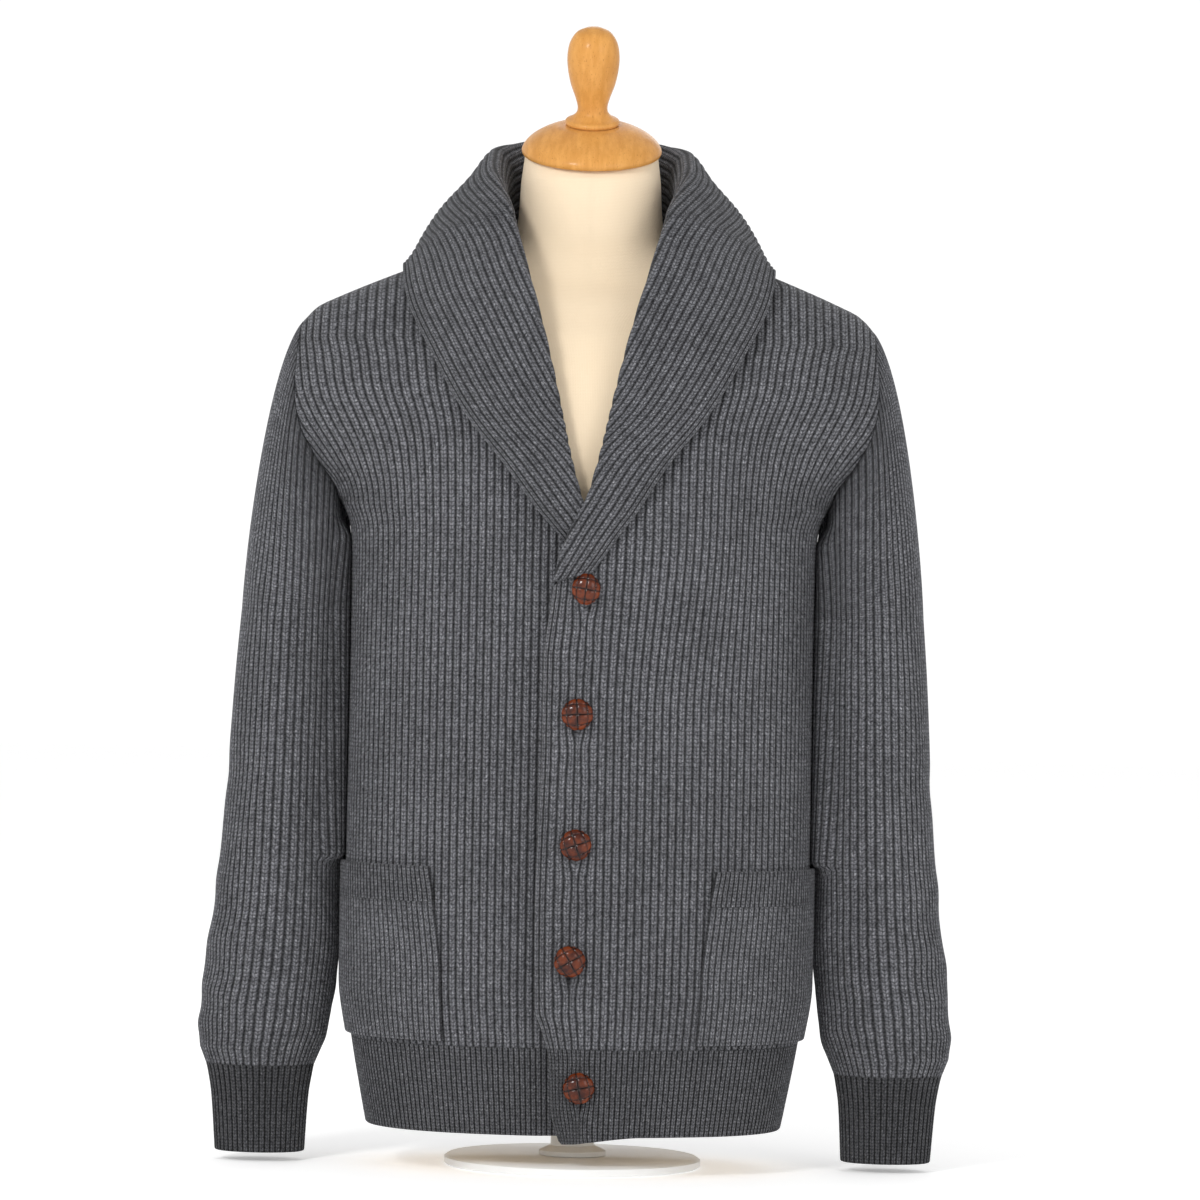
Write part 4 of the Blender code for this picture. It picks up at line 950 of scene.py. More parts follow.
sleeve = {
    "sections": table(
        ("height", "centre", "halfWidth", "halfDepth"),
        (7, 244, 35, 25), (51, 244.5, 38, 27), (67, 244.6, 40.5, 30), (76, 244.8, 42.5, 33),
        (83, 245, 46, 36), (98, 243, 49, 40), (130, 239.5, 51, 42), (161, 236, 51.3, 45),
        (207, 233, 48.5, 50), (285, 230, 45.3, 58), (379, 227.2, 42.6, 66), (440, 224.8, 40, 71),
        (480, 223, 38.5, 74),
    ),
    "rowStep": 3.2, "sweepRows": 66, "innerEvery": (6, 5), "capInside": (205.0, 0.0, 518.0),
    "capHeight": 225.0, "armholeGap": 0.6, "innerSeamGap": 2.2,
    "leave": -0.05, "arrive": (-0.3, -0.1, 0.28),    # slopes of the sweep at its two ends
    "foldTurn": 10.0, "foldsStart": (76, 92), "foldsEnd": (0.1, 0.5),
    "turnsFrom": 0.86, "gapFrom": 0.9, "innerGapFrom": 0.97,
    "contactGap": 0.6, "contactTop": (484, 506), "contactWidth": (20, 46),
    "pocketTop": 236.0, "behindPocket": 56.0,
    "cut": ((0.36, 0.59), 0.165),            # flat size and area
    "folds": table(                          # across is the turn round the sleeve in degrees
        foldColumns,
        (60, 112, 78, 60, 9, 2.6), (105, 128, 82, 70, 10, 2.4), (150, 108, 96, 60, 9, 2.0),
        (80, 150, 70, 60, 12, 1.8), (130, 175, 100, 70, 13, 1.6), (62, 235, 30, 70, 15, 1.5),
        (112, 260, -24, 80, 14, 1.6), (84, 330, 18, 90, 13, 1.4), (140, 350, -14, 80, 14, 1.3),
        (250, 118, 80, 60, 10, 2.3), (290, 140, 96, 60, 11, 2.1), (220, 165, 74, 60, 12, 1.7),
        (262, 250, 26, 80, 15, 1.6), (232, 330, -20, 90, 14, 1.4), (300, 300, 12, 70, 13, 1.2),
        (180, 220, 84, 60, 14, 1.4), (176, 300, 96, 60, 15, -1.2), (95, 415, 34, 60, 12, 1.4),
        (265, 420, -30, 60, 12, 1.3),
    ),
}

cuff = {
    "edge": 7.0, "seam": 75.0, "wall": 3.4, "sharedAt": 51.0, "rows": (0, 0.5, 1.3, 2.4, 5, 8.5),
    "rowStep": 3.2, "edgeRadius": 1.9, "innerEvery": (4, 5), "cut": ((0.21, 0.068), 0.0142),
}


# turn 0 faces the body and a quarter turn faces the front; an ellipse about a leaning centre
def sleeveSection(turn, height):
    centre = lookUp(sleeve["sections"], "centre", height)
    x = centre - lookUp(sleeve["sections"], "halfWidth", height) * np.cos(turn)
    y = -lookUp(sleeve["sections"], "halfDepth", height) * np.sin(turn)
    return np.stack(np.broadcast_arrays(x, y, height), axis=-1)


# ribs share the girth at one height out evenly, each with its five mesh columns
def ribTurns(height, pitch):
    turns = np.linspace(0, 2 * np.pi, 721)
    length = walked(sleeveSection(turns, np.full(721, float(height))))
    ribs = round(length[-1] / pitch)
    counts = (np.arange(ribs)[:, None] + np.array(knit["places"])).ravel()
    return np.interp(counts / ribs * length[-1], length, turns), counts, ribs


# the armhole seam's line from the underarm to the shoulder tip: the top of each column that ends there
def armholeHalf(side):
    lastColumn = body["sideColumn"] - body["armhole"]["ended"][-1]
    columns = np.linspace(body["sideColumn"], lastColumn, 90)
    points = bodyPoint(columns, columnTop(columns, side), side)
    points[-1, 1] = bodyAt("centre", points[-1, 2])
    return points


# length walked along a line of points, from 0
def walked(line):
    return np.concatenate([[0], np.cumsum(np.linalg.norm(np.diff(line, axis=0), axis=1))])


# points of a line at shares of its length
def alongLine(line, shares):
    length = walked(line)
    return np.stack([np.interp(shares * length[-1], length, line[:, i]) for i in range(3)], axis=-1)


# sections up to the turn, then a Hermite sweep from each turn's place there to its armhole point
def sleeveBase(turns):
    low = cuff["seam"] + knit["seamGap"] / 2
    straight = np.linspace(low, body["turn"], round((body["turn"] - low) / sleeve["rowStep"]) + 1)
    start = sleeveSection(turns, np.full(len(turns), body["turn"]))
    share = turns / np.pi
    frontEnd = alongLine(armholeHalf("front"), np.clip(share, 0, 1))
    backEnd = alongLine(armholeHalf("back"), np.clip(2 - share, 0, 1))
    end = np.where((share <= 1)[:, None], frontEnd, backEnd)
    rise = (end - start)[:, 2:3]
    outward = ((1 - np.cos(turns)) / 2)[:, None]
    leave = np.hstack([sleeve["leave"] * rise, 0 * rise, rise])
    aside, inward, up = sleeve["arrive"]
    towardsMiddle = inward * rise * np.sign(end[:, 1:2]) * (1 - outward)
    arrive = np.hstack([aside * rise * outward**2, towardsMiddle, up * rise])
    t = np.linspace(0, 1, sleeve["sweepRows"] + 1)[1:, None, None]
    sweep = (1 + 2 * t) * (1 - t) ** 2 * start + t * (1 - t) ** 2 * leave
    sweep = sweep + t * t * (3 - 2 * t) * end + t * t * (t - 1) * arrive
    rows = sleeveSection(turns, straight[:, None] + 0 * turns)
    levels = np.concatenate([straight, body["turn"] + sleeve["capHeight"] * t[:, 0, 0]])
    return np.concatenate([rows, sweep]), levels


# where the sleeve lies against the body, its inner side takes the body's own curve, just clear of
# it: down to the pocket's top in front, and further down behind the pocket's outer edge
def restOnBody(rows):
    y = rows[..., 1] - bodyAt("centre", rows[..., 2])
    z = rows[..., 2]
    depth = np.where(y < 0, bodyAt("front", z), bodyAt("back", z))
    power = bodyAt("squareness", z)
    share = np.clip(np.abs(y) / depth, 0, 1)
    beside = bodyAt("halfWidth", z) * (1 - share**power) ** (1 / power)
    behind = ease(y, -9, 1)
    lowest = sleeve["pocketTop"] - sleeve["behindPocket"] * behind
    pressed = (1 - ease(np.abs(y), *sleeve["contactWidth"])) * (1 - ease(z, *sleeve["contactTop"]))
    pressed = pressed * ease((z - lowest) / (3 + 24 * behind), 0, 1)
    pressed = pressed * (rows[..., 0] < lookUp(sleeve["sections"], "centre", z))
    rows[..., 0] += (beside + sleeve["contactGap"] - rows[..., 0]) * pressed
    return rows


# the swept surface with its folds, pressed to the body, then the ribs' drop along its normals; near
# the armhole the wall turns to lie in the seam and steps away from the panels
def buildSleeve(side, word):
    turns, counts, ribs = ribTurns(body["turn"], knit["sleevePitch"])
    rows, levels = sleeveBase(turns)
    spare = (len(rows) - 1) % sleeve["innerEvery"][0]
    keep = np.concatenate([[0], np.arange(1 + spare, len(rows))])
    rows, levels = rows[keep], levels[keep]
    centres = np.zeros_like(rows)
    centres[..., 0] = lookUp(sleeve["sections"], "centre", rows[..., 2])
    centres[..., 2] = rows[..., 2]
    above = rows[..., 2] > body["turn"]
    centres = np.where(above[..., None], np.array(sleeve["capInside"]), centres)
    normal = gridNormals(rows, rows - centres, closed=True)
    levels = levels[:, None]
    share = np.clip((levels - body["turn"]) / sleeve["capHeight"], 0, 1)
    degrees = np.degrees(turns) + sleeve["foldTurn"] * side
    rise = foldRise(degrees, levels, sleeve["folds"])
    rise = rise * ease(levels, *sleeve["foldsStart"]) * (1 - ease(share, *sleeve["foldsEnd"]))
    rows = restOnBody(rows + normal * rise[..., None])
    normal = gridNormals(rows, rows - centres, closed=True)
    rims = armholeRim(rows[-1])
    towards = ease(share, sleeve["turnsFrom"], 1.0)[..., None]
    wallWay = unit(normal * (1 - towards) + rims * towards)
    around = np.roll(rows[-1], -1, axis=0) - np.roll(rows[-1], 1, axis=0)
    away = unit(np.cross(around, rims))
    away = away * np.where(away[:, :1] < 0, -1, 1)
    rows = rows + away * (sleeve["armholeGap"] * ease(share, sleeve["gapFrom"], 1.0))[..., None]
    drop = knit["depth"] * ribDrop(counts) * ribsLeft(share)
    outer = rows - wallWay * drop[..., None]
    innerShift = (sleeve["innerSeamGap"] - sleeve["armholeGap"]) * ease(share, sleeve["innerGapFrom"], 1.0)
    inner = rows - wallWay * knit["wall"] + away * innerShift[..., None]
    mirror = (side, 1, 1)
    buildCloth("sleeve_" + word, (word + "Sleeve", *sleeve["cut"]), outer * mirror, inner * mirror,
               sleeve["innerEvery"], knitPlaces(counts, levels), bodyKnit,
               rows, turned=side < 0, ribs=ribs)


# the sleeve's section carried on down in finer ribs, with a rounded lower edge
def buildCuff(side, word):
    turns, counts, ribs = ribTurns(cuff["sharedAt"], knit["cuffPitch"])
    levels = edgeRows(cuff["edge"], cuff["seam"] - knit["seamGap"] / 2, cuff["rows"], cuff["rowStep"],
                      cuff["innerEvery"][0])[:, None]
    rows = sleeveSection(turns, levels + 0 * turns)
    centres = rows * (0, 0, 1)
    centres[..., 0] = lookUp(sleeve["sections"], "centre", rows[..., 2])
    normal = gridNormals(rows, rows - centres, closed=True)
    drop = np.maximum(knit["fineDepth"] * ribDrop(counts), edgeFall(levels - levels[0], cuff["edgeRadius"]))
    mirror = (side, 1, 1)
    outer, inner = (rows - normal * drop[..., None]) * mirror, (rows - normal * cuff["wall"]) * mirror
    buildCloth("cuff_" + word, (word + "Cuff", *cuff["cut"]), outer, inner, cuff["innerEvery"],
               knitPlaces(counts, levels, "fineStitch"), cuffKnitPaintedShade, rows,
               turned=side < 0, ribs=ribs)


for side, word in ((1, "left"), (-1, "right")):
    buildSleeve(side, word)
    buildCuff(side, word)
print("sleeves and cuffs are ready")

# ---- collar

collar = {
    "rows": table(
        ("along", "edgeX", "edgeY", "edgeZ", "rollX", "rollY", "rollZ", "bulge", "fold"),
        (0.00, -2, -142.5, 461, -21, -138.5, 455, 0, 2.6),
        (0.06, 18, -142, 489, -10, -140.5, 488, 1, 2.7),
        (0.12, 36, -140, 509, 3, -138.5, 513, 2, 2.8),
        (0.20, 62, -129, 543, 14, -131, 550, 3, 3.0),
        (0.30, 95, -120, 585, 23, -126, 590, 5, 3.2),
        (0.40, 120, -103, 629, 35, -117, 640, 7, 3.6),
        (0.50, 137, -74, 664, 50, -98, 692, 9, 4.2),
        (0.55, 142.5, -51.5, 684, 57, -83, 715, 9, 4.8),
        (0.59, 144, -19, 697.5, 64, -66, 738, 10, 5.5),
        (0.68, 140, 38, 700, 76, -22, 768, 9, 7.0),
        (0.78, 112, 76, 694, 76, 26, 786, 6, 8.0),
        (0.89, 62, 104, 690, 46, 66, 797, 4, 8.0),
        (1.00, 0, 114, 688, 0, 80, 801, 3, 8.0),
        (1.11, -62, 104, 690, -46, 66, 797, 4, 8.0),
    ),
    "seam": table(
        ("along", "column"),
        (0.00, -13.8), (0.035, -4.4), (0.06, 7.5), (0.12, 21.8), (0.20, 40),
        (0.30, 54), (0.40, 63.0), (0.50, 68.4), (0.59, 74),
    ),
    "rightStart": 0.035, "under": 7.6, "underTip": 11.8, "wall": 4.2, "seamGap": 1.3,
    "neckCentre": 6.0, "neckBack": 70.0, "halfRows": 150, "acrossColumns": 150, "innerEvery": (6, 6),
    "edgeColumns": (0, 0.35, 0.95, 1.8, 2.9), "cut": ("shawlCollar", (0.95, 0.19), 0.135),
    "edgeOut": 9.0, "settleEdge": 4.8, "settleRoll": 1.2, "thinEnd": 0.35, "thinOver": 24.0,
}


# where the collar meets the fronts and, from the shoulder on, a quarter ellipse round the neck
def collarSeam(along, side):
    shoulder = collar["seam"]["along"][-1]
    column = lookUp(collar["seam"], "column", np.minimum(along, shoulder), "along")
    front = plainFront(column, lookUp(body["neckSeam"], "height", column, "column"), side)
    front[..., 0] *= side
    swing = np.clip((along - shoulder) / (1 - shoulder), 0, 1) * np.pi / 2
    level = 0 * swing
    y = collar["neckCentre"] + (collar["neckBack"] - collar["neckCentre"]) * np.sin(swing)
    back = np.stack([body["neckHalfWidth"] * np.cos(swing), y, body["neckHeight"] + level], axis=-1)
    point = np.where((along > shoulder)[..., None], back, front)
    inward = np.stack([-np.cos(swing), -np.sin(swing), 0.35 + level], axis=-1)
    behind = np.stack([-0.6 + level, 1 + level, 0.4 + level], axis=-1)
    blend = ease(along, 0.42, 0.62)[..., None]
    shift = unit(behind * (1 - blend) + inward * blend)
    return point + shift * (collar["wall"] / 2 + collar["seamGap"])


# outer edge, roll line and seam; the right half runs under the left one, so it lies further back,
# and the left half's front end is set down onto the front by eased shares of the way
def collarAnchors(along, side):
    edge, roll = (
        np.stack([lookUp(collar["rows"], line + axis, along, "along") for axis in "XYZ"], axis=-1)
        for line in ("edge", "roll")
    )
    if side < 0:
        drop = collar["under"] * (1 - ease(along, 0.02, 0.2))
        tip = collar["underTip"] * (1 - ease(along, 0.0, 0.1))
        edge[..., 1] += drop + tip * 0.6
        roll[..., 1] += drop + tip
    else:
        settled = 1 - ease(along, 0.0, 0.07)
        edge[..., 0] += collar["edgeOut"] * (1 - ease(along, 0.03, 0.24))
        edge[..., 1] += collar["settleEdge"] * settled
        roll[..., 1] += collar["settleRoll"] * settled
    return edge, roll, collarSeam(along, side)


# eight points across: outer edge, two on the bulge, over the fold, its turn, under it, the stand
# and the seam
def collarProfile(along, side):
    edge, roll, seam = collarAnchors(along, side)
    ahead = collarAnchors(np.clip(along + 0.004, 0, 1), side)[1]
    behind = collarAnchors(np.clip(along - 0.004, 0, 1), side)[1]
    fall, stand = unit(edge - roll), unit(seam - roll)
    out = unit(-np.cross(unit(ahead - behind), unit(fall + stand)))
    fold = lookUp(collar["rows"], "fold", along, "along")[..., None]
    bulge = lookUp(collar["rows"], "bulge", along, "along")[..., None]
    over = roll + fold * (out + 0.6 * fall)
    under = roll + fold * (-out + 0.6 * stand)
    turn = roll + 0.55 * fold * (-unit(fall + stand))
    third = edge + (over - edge) * 0.36 + out * bulge * 0.9
    most = edge + (over - edge) * 0.7 + out * bulge
    half = under + (seam - under) * 0.5
    return np.stack([edge, third, most, over, turn, under, half, seam], axis=-2)


# a cubic through points along the second last axis, with a tangent at each by centripetal steps:
# the square roots of the distances
def spline(points, samples):
    before = 2 * points[..., :1, :] - points[..., 1:2, :]
    after = 2 * points[..., -1:, :] - points[..., -2:-1, :]
    full = np.concatenate([before, points, after], axis=-2)
    gaps = np.maximum(np.sqrt(np.linalg.norm(np.diff(full, axis=-2), axis=-1, keepdims=True)), 1e-6)
    p0, p1, p2, p3 = (full[..., k: k + points.shape[-2] - 1, None, :] for k in range(4))
    d0, d1, d2 = (gaps[..., k: k + points.shape[-2] - 1, None, :] for k in range(3))
    m1 = (p1 - p0) / d0 - (p2 - p0) / (d0 + d1) + (p2 - p1) / d1
    m2 = (p2 - p1) / d1 - (p3 - p1) / (d1 + d2) + (p3 - p2) / d2
    t = np.linspace(0, 1, samples, endpoint=False)[:, None]
    run = (1 + 2 * t) * (1 - t) ** 2 * p1 + t * (1 - t) ** 2 * d1 * m1
    run = run + t * t * (3 - 2 * t) * p2 + t * t * (t - 1) * d1 * m2
    return np.concatenate([run.reshape(run.shape[:-3] + (-1, 3)), points[..., -1:, :]], axis=-2)


# middle surface of one half, from the front end to the middle of the back, with its reach from the
# outer edge and what is left up to the seam; columns stand at even shares of each row's length
def collarHalf(side, start):
    place = np.linspace(start, 1, collar["halfRows"] + 1)
    fine = spline(collarProfile(place, side), 12)
    steps = np.linalg.norm(np.diff(fine, axis=-2), axis=-1)
    length = np.concatenate([np.zeros((len(steps), 1)), np.cumsum(steps, axis=-1)], axis=-1)
    first = np.array(collar["edgeColumns"])
    rest = np.linspace(0, 1, collar["acrossColumns"] + 1 - len(first) + 1)[None, 1:]
    reach = np.hstack([first[None, :] + 0 * length[:, :1], first[-1] + rest * (length[:, -1:] - first[-1])])
    points = np.array([
        np.stack([np.interp(at, run, row[:, k]) for k in range(3)], axis=-1)
        for at, run, row in zip(reach, length, fine)
    ])
    points[..., 0] *= side
    return points, reach, length[:, -1:] - reach


# ribs are counted from the outer edge: two narrow selvedge columns, then even ones
def collarRibs(reach):
    narrow = knit["selvedge"] * knit["selvedgeRibs"]
    even = knit["selvedgeRibs"] + (reach - narrow) / knit["collarPitch"]
    return np.where(reach < narrow, reach / knit["selvedge"], even)


# both halves joined at the middle of the back, thickened to each side by half the wall with quarter
# circles round the edges; the ribs drop on the outer side only
def buildCollar():
    left, leftReach, leftRest = collarHalf(1, 0)
    right, rightReach, rightRest = collarHalf(-1, collar["rightStart"])
    middle = np.concatenate([left, right[::-1][1:]])
    reach = np.concatenate([leftReach, rightReach[::-1][1:]])
    rest = np.concatenate([leftRest, rightRest[::-1][1:]])
    middle[collar["halfRows"], :, 0] = 0
    normal = unit(np.cross(np.gradient(middle, axis=0), np.gradient(middle, axis=1)))
    along = walked(middle[:, 70])[:, None]
    fromEnd = np.minimum(along, along[-1] - along)
    thick = collar["thinEnd"] + (1 - collar["thinEnd"]) * ease(along, 0, collar["thinOver"])
    half = collar["wall"] / 2 * thick
    nearest = np.minimum(np.minimum(reach, rest + half * 0.6), fromEnd + half * 0.3)
    swell = half * np.sqrt(np.clip(1 - (1 - np.clip(nearest / half, 0, 1)) ** 2, 0.0, 1)) + 0.05
    ribs = collarRibs(reach)
    outer = middle + normal * (swell - knit["depth"] * ribDrop(ribs) * ease(nearest, 0.4, 2.0))[..., None]
    inner = middle - normal * swell[..., None]
    buildCloth("collar", collar["cut"], outer, inner, collar["innerEvery"], knitPlaces(ribs, along),
               collarKnit, middle, turned=True)


buildCollar()
print("collar is ready")

# ---- pockets

pocket = {
    "rows": table(("height", "innerLeft", "innerRight"), (103, 97, 105), (150, 97, 104), (209, 102, 110)),
    "outerColumn": 238.0, "top": 209.0, "bandTop": 236.0, "taper": 3.0, "wall": 3.4, "lift": 0.8,
    "depth": 1.0, "edgeRadius": 1.6, "rowStep": 3.2, "bandRows": 10, "edgeRows": (0, 0.4, 1.1, 2.2),
    "curl": 2.6, "curlWidth": 13.0, "curlHeight": 22.0, "innerEvery": (4, 5),
    "cuts": (("Pocket", (0.14, 0.106), 0.0147), ("PocketBand", (0.138, 0.027), 0.0037)),
}


# points of the front moved out by the lift and the wall, less the ribs' drop and a rounded shoulder
# at the sides and the free end; a band's inner top corner also curls away by a Gaussian across
def buildPatch(side, levels, start, band):
    pitch, depth = (knit["bandPitch"], knit["fineDepth"]) if band else (knit["pocketPitch"], pocket["depth"])
    width = pocket["outerColumn"] - start.mean()
    ribs = round(width / pitch)
    counts = np.append((np.arange(ribs)[:, None] + np.array(knit["places"])).ravel(), ribs)
    share = counts / ribs
    levels = levels[:, None]
    grid = start[:, None] * (1 - share) + pocket["outerColumn"] * share
    heights = levels + 0 * grid
    base = frontPoint(grid, heights, side)
    normal = gridNormals(base, base * (1, 1, 0))
    fromSide = width * np.minimum(share, 1 - share)
    fromEnd = levels[-1] - levels if band else levels - levels[0]
    fall = np.maximum(edgeFall(fromSide, pocket["edgeRadius"]), edgeFall(fromEnd, pocket["edgeRadius"]))
    corner = np.exp(-(width * share / pocket["curlWidth"]) ** 2) * band
    corner = corner * ease(levels, levels[-1] - pocket["curlHeight"], levels[-1])
    lift = (pocket["lift"] + pocket["curl"] * corner)[..., None]
    drop = np.maximum(depth * ribDrop(counts), fall)
    outer, inner = base + normal * (lift + pocket["wall"] - drop[..., None]), base + normal * lift
    word = "left" if side > 0 else "right"
    name, flat, area = pocket["cuts"][band]
    node, material = ("pocket_band_", bandKnit) if band else ("pocket_", bodyKnit)
    uv = knitPlaces(counts, heights, "fineStitch" if band else "stitch")
    buildCloth(node + word, (word + name, flat, area), outer, inner, pocket["innerEvery"], uv, material,
               base, turned=side < 0)


# the pocket from its lower edge to the seam, and its band from the seam to the top
def buildPocket(side, start):
    gap = knit["seamGap"] / 2
    levels = edgeRows(pocket["rows"]["height"][0], pocket["top"] - gap, pocket["edgeRows"],
                      pocket["rowStep"], pocket["innerEvery"][0])
    buildPatch(side, levels, smooth(levels, pocket["rows"]["height"], start), False)
    last = pocket["bandTop"] - np.array(pocket["edgeRows"], float)[::-1]
    levels = np.concatenate([np.linspace(pocket["top"] + gap, last[0], pocket["bandRows"])[:-1], last])
    tapered = pocket["taper"] * (levels - levels[0]) / (levels[-1] - levels[0])
    buildPatch(side, levels, start[-1] + tapered, True)


buildPocket(1, pocket["rows"]["innerLeft"])
buildPocket(-1, pocket["rows"]["innerRight"])
print("pockets are ready")

# ---- buttons

# a pillow across one strap: 1 - x^4, so 1 in the middle and 0 at its edges
def pillow(share):
    return np.clip(1 - np.abs(share) ** 4, 0, 1)


# two straps each way: in the four middle cells they pass over and under in turn, and outside them
# the pair nearer to its own middle line goes on to the rim
def strapRelief(a, b):
    w = buttons["strap"]
    reach = buttons["curve"] * buttons["radius"]
    a, b = a / np.sqrt(1 - (b / reach) ** 2), b / np.sqrt(1 - (a / reach) ** 2)
    i, j = np.floor(a / w), np.floor(b / w)
    u, v = 2 * (a / w - i) - 1, 2 * (b / w - j) - 1
    centre = (np.abs(a) < w) & (np.abs(b) < w)
    upright = np.where(centre, (i + j) % 2 == 0, np.abs(a) < np.abs(b))
    across, alongIt = np.where(upright, u, v), np.where(upright, v, u)
    return pillow(across) * np.where(centre, pillow(alongIt) ** 0.6, 1.0)


# radius and level of each ring: a sine and cosine dome up to the rim, then tucked in below it
def domeProfile(reach):
    radius, rim = buttons["radius"], buttons["rim"]
    turned = reach * buttons["domeShare"]
    past = (turned - 1) * np.pi / 2 * 0.9
    out = np.where(turned > 1, radius * np.cos(past), radius * np.sin(turned * np.pi / 2))
    dome = rim + (buttons["rise"] - rim) * np.cos(np.clip(turned, 0, 1) * np.pi / 2) ** buttons["domePower"]
    tucked = rim - buttons["tuck"] * np.sin(past / (buttons["domeShare"] - 1))
    return out, np.where(turned > 1, tucked, dome)


# the dome less its straps' relief along the normals, closed by a shank that reaches the right front
def buildButton(number, across, height, turn, squash):
    rings, spokes = buttons["rings"], buttons["spokes"]
    reach = np.linspace(0, 1, rings + 1)[1:, None]
    angles = np.linspace(0, 2 * np.pi, spokes, endpoint=False)
    out, level = domeProfile(reach)
    a, b = out * np.cos(angles), out * np.sin(angles)
    lean = math.radians(turn)
    lobe = strapRelief(a * math.cos(lean) + b * math.sin(lean), b * math.cos(lean) - a * math.sin(lean))
    shape = np.stack([a, b, level + 0 * a], axis=-1)
    normal = gridNormals(shape, shape - (0, 0, 1.0), closed=True)
    shape = shape - normal * (buttons["relief"] * (1 - lobe) * (1 - 0.85 * reach**2))[..., None]
    front, gap = buttonPlace(across, height)
    shank = buttons["shank"] * np.stack([np.cos(angles), np.sin(angles), 0 * angles], axis=-1)
    grid = np.concatenate([shape, [shank + (0, 0, 0.6), shank - (0, 0, gap)]])
    points, quads, tris = ringsAndPoles(grid, (0, 0, buttons["rise"] - 0.3), (0, 0, -gap))
    uv = np.zeros((len(points), 2))
    uv[:lobe.size] = np.stack([lobe, reach + 0 * lobe], axis=-1).reshape(-1, 2)
    uv[-2] = (1, 0)
    x, z, y = (points * (squash, 1, -1)).T
    placed = np.stack([across + x, front + y, height + z], axis=-1)
    piece = makeMesh(f"button{number}", placed, quads[:, ::-1], tris[:, ::-1], uv, np.arange(len(points)),
                     leatherCover)
    enter(piece, f"button_{number}")


# a button stands just off the left front, and its shank reaches through to the right one
def buttonPlace(across, height):
    x, z = np.array([across]), np.array([height])
    level = bodyAt("centre", z) - sectionDepth(x, z, "front")
    level = level - foldRise(x, z, body["folds"])
    front = level - lapLift(x, z) - knit["seamGap"]
    return float(front[0]), float((level - 0.6 - front)[0])


for number, squash in enumerate(buttons["squash"]):
    spot = [buttons["places"][name][number] for name in ("across", "height", "turn")]
    buildButton(number + 1, *spot, squash)
print("buttons are ready")

# ---- dress form

form = {
    "sections": table(
        ("height", "halfWidth", "front", "back", "centre", "squareness"),
        (46, 156, 102, 98, 0, 2.3), (99, 162, 106, 102, 0, 2.3), (150, 168, 110, 106, 0, 2.3),
        (300, 168, 112, 103, 0, 2.3), (440, 170, 114, 106, 0, 2.3), (500, 173, 117, 111, 0, 2.3),
        (560, 184, 114, 111, 1, 2.3), (610, 199, 106, 106, 3, 2.3), (640, 202, 95, 97, 5, 2.2),
        (657, 193, 84, 89, 6, 2.1), (670, 173, 75, 82, 6, 2.0), (690, 121, 58, 67, 6, 2.0),
        (706, 77, 53, 55, 5, 2.0), (720, 60, 52, 50, 3, 2.0), (740, 56, 50, 50, 0, 2.0),
        (766, 54.5, 50, 50, -1, 2.0),
    ),
    "capCentre": (0.0, -2.0, 788.0), "capTilt": 19.0,
    "cap": table(
        ("radius", "along"),
        (0, 0), (50, 0), (53.5, 0.8), (54.6, 3.2), (53.8, 6), (49, 12), (40, 18), (29, 22.5),
        (21.5, 24), (0, 24),
    ),
    "finial": table(
        ("radius", "along"),
        (0, 24.4), (20.4, 24.4), (21.2, 26), (20.6, 28), (16, 30.4), (12.4, 34), (11.6, 38), (13.2, 45),
        (17.4, 57), (19.9, 70), (20.2, 80), (18.2, 90), (13, 97.6), (6, 101), (0, 101.8),
    ),
    "post": table(("radius", "along"), (0, 8.4), (26, 8.4), (26, 12), (17, 16), (17, 45.6), (0, 45.6)),
    "base": table(("radius", "along"), (0, 0), (98, 0), (100, 1.5), (100, 6), (97, 8), (0, 8)),
    "rings": 220, "spokes": 160, "neckRings": 8, "neckTop": (0.95, 0.93, 1), "capGap": 0.4,
}


# a profile turned about the z axis: its radius times cosine and sine, smoothed by the spline
def lathe(name, profile, spokes, material, node, leans=True, samples=10):
    line = np.stack([profile["radius"], 0 * profile["radius"], profile["along"]], axis=-1)
    fine = spline(line[1:-1], samples) if leans else line[1:-1]
    angles = np.linspace(0, 2 * np.pi, spokes, endpoint=False)
    out = fine[:, :1]
    grid = np.stack([out * np.cos(angles), out * np.sin(angles), fine[:, 2:] + 0 * angles], axis=-1)
    points, quads, tris = ringsAndPoles(grid, line[0], line[-1])
    points = onNeck(points) if leans else points
    uv = np.zeros((len(points), 2))
    piece = makeMesh(name, points, quads, tris, uv, np.arange(len(points)), material, sharp=35)
    enter(piece, node)


# turned about the x axis by the lean of the neck, and set on top of it
def onNeck(points):
    lean = math.radians(form["capTilt"])
    x, y, z = points.T
    back, up = y * math.cos(lean) - z * math.sin(lean), y * math.sin(lean) + z * math.cos(lean)
    return np.stack([x, back, up], axis=-1) + form["capCentre"]


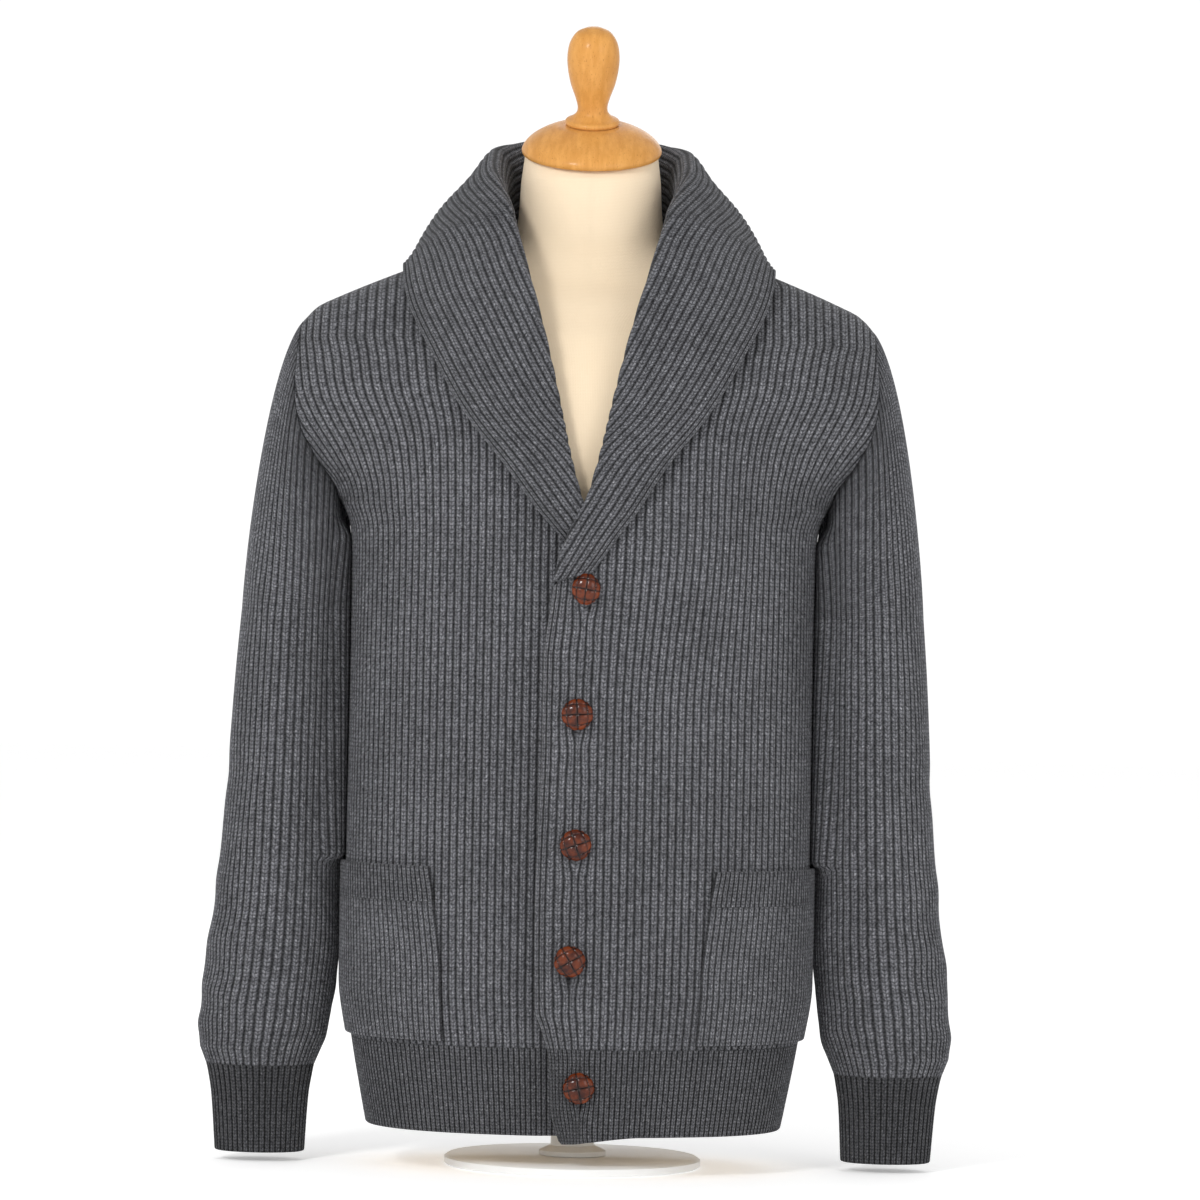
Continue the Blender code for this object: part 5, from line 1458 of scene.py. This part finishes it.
# a superellipse at each height, as for the body, then straight up to the neck's slanting top
def buildTorso():
    rows = form["sections"]
    heights = np.linspace(rows["height"][0], rows["height"][-1], form["rings"])[:, None]
    angles = np.linspace(np.pi, 3 * np.pi, form["spokes"], endpoint=False)[None, :]
    sine, cosine = np.sin(angles), np.cos(angles)
    power = 2 / lookUp(rows, "squareness", heights)
    x = lookUp(rows, "halfWidth", heights) * np.sign(sine) * np.abs(sine) ** power
    depth = np.where(cosine > 0, lookUp(rows, "front", heights), lookUp(rows, "back", heights))
    y = lookUp(rows, "centre", heights) - depth * np.sign(cosine) * np.abs(cosine) ** power
    grid = np.stack([x, y, heights + 0 * x], axis=-1)
    neck = grid[-1] * form["neckTop"]
    slope = math.tan(math.radians(form["capTilt"]))
    neck[:, 2] = form["capCentre"][2] - form["capGap"] + slope * (neck[:, 1] - form["capCentre"][1])
    t = np.linspace(0, 1, form["neckRings"] + 1)[1:, None, None]
    grid = np.concatenate([grid, grid[-1] * (1 - t) + neck * t])
    waist = grid[100]
    around = np.cumsum(np.linalg.norm(np.diff(waist, axis=0, prepend=waist[-1:]), axis=1))
    points, quads, tris = ringsAndPoles(grid, grid[0].mean(axis=0), grid[-1].mean(axis=0))
    threads = np.stack([around + 0 * grid[..., 2], grid[..., 2]], axis=-1) / linen["thread"]
    uv = np.vstack([threads.reshape(-1, 2), np.zeros((2, 2))])
    piece = makeMesh("coveredTorso", points, quads, tris, uv, np.arange(len(points)), cover)
    enter(piece, "form_torso")


buildTorso()
lathe("neckCap", form["cap"], 96, turnedBeech, "form_neck_cap")
lathe("finial", form["finial"], 96, turnedBeech, "form_finial")
lathe("post", form["post"], 64, whitePaint, "form_post", leans=False)
lathe("roundBase", form["base"], 128, whitePaint, "form_base", leans=False)
print("dress form is ready")

# ---- floor, lights and camera

studio = {
    "floor": 0.98, "glow": 0.30, "horizon": 1.06, "overhead": 0.62, "dome": (0.12, 0.7),
    "panels": {                              # place, what it faces, size, power
        "keyPanel": ((-1.4, -2.7, 1.9), (0, 0, 0.55), 0.6, 41.0),
        "fillPanel": ((1.9, -2.6, 1.2), (0, 0, 0.55), 1.5, 17.0),
        "backPanelLight": ((0.4, 2.8, 2.2), (0, 0, 0.5), 1.6, 9.0),
    },
    "target": (0.01326, 0.0, 0.441), "distance": 4.5, "lens": 173.08, "roll": 1.12,
}


# a square light turned to its target by the arctangents of its offset from there
def lightPanel(name, place, target, size, power):
    data = bpy.data.lights.new(name, "AREA")
    data.energy = power
    data.size = size
    lamp = bpy.data.objects.new(name, data)
    scene.collection.objects.link(lamp)
    lamp.location = place
    away = np.array(place) - np.array(target)
    tilt = math.atan2(math.hypot(away[0], away[1]), away[2])
    lamp.rotation_euler = (tilt, 0, math.atan2(away[0], -away[1]))


# a wide sheet of pale paper that glows a little, so that it stays as light as what is behind it
def buildFloor():
    mesh = bpy.data.meshes.new("floor")
    mesh.from_pydata([(-12, -12, 0), (12, -12, 0), (12, 12, 0), (-12, 12, 0)], [], [(0, 1, 2, 3)])
    floor = bpy.data.objects.new("floor", mesh)
    paper = Nodes("paperFloor")
    paper.shader.inputs["Base Color"].default_value = (*[studio["floor"]] * 3, 1)
    paper.shader.inputs["Roughness"].default_value = 0.9
    paper.shader.inputs["Emission Color"].default_value = (1, 1, 1, 1)
    paper.shader.inputs["Emission Strength"].default_value = studio["glow"]
    floor.data.materials.append(paper.material)
    scene.collection.objects.link(floor)


# white all round, dimmed overhead by an eased share of the height of the direction
def buildWorld():
    world = bpy.data.worlds.new("softWhite")
    world.use_nodes = True
    tree = world.node_tree
    direction = tree.nodes.new("ShaderNodeTexCoord")
    split = tree.nodes.new("ShaderNodeSeparateXYZ")
    dome = tree.nodes.new("ShaderNodeMapRange")
    dome.interpolation_type = "SMOOTHSTEP"
    tree.links.new(direction.outputs["Generated"], split.inputs[0])
    tree.links.new(split.outputs["Z"], dome.inputs["Value"])
    strengths = (*studio["dome"], studio["horizon"], studio["overhead"])
    for socket, value in zip(list(dome.inputs)[1:], strengths):
        socket.default_value = value
    tree.nodes["Background"].inputs["Color"].default_value = (1, 1, 1, 1)
    tree.links.new(dome.outputs[0], tree.nodes["Background"].inputs["Strength"])
    scene.world = world


# the camera looks along y from a distance in front of its target, with a small roll
def buildCamera():
    data = bpy.data.cameras.new("camera")
    data.lens = studio["lens"]
    data.sensor_width = 36
    camera = bpy.data.objects.new("camera", data)
    scene.collection.objects.link(camera)
    x, y, z = studio["target"]
    camera.location = (x, y - studio["distance"], z)
    camera.rotation_euler = (math.pi / 2, 0, 0)
    camera.rotation_euler.rotate_axis("Z", math.radians(studio["roll"]))
    scene.camera = camera


buildFloor()
buildWorld()
for name, setting in studio["panels"].items():
    lightPanel(name, *setting)
buildCamera()
print("floor, lights and camera are ready")
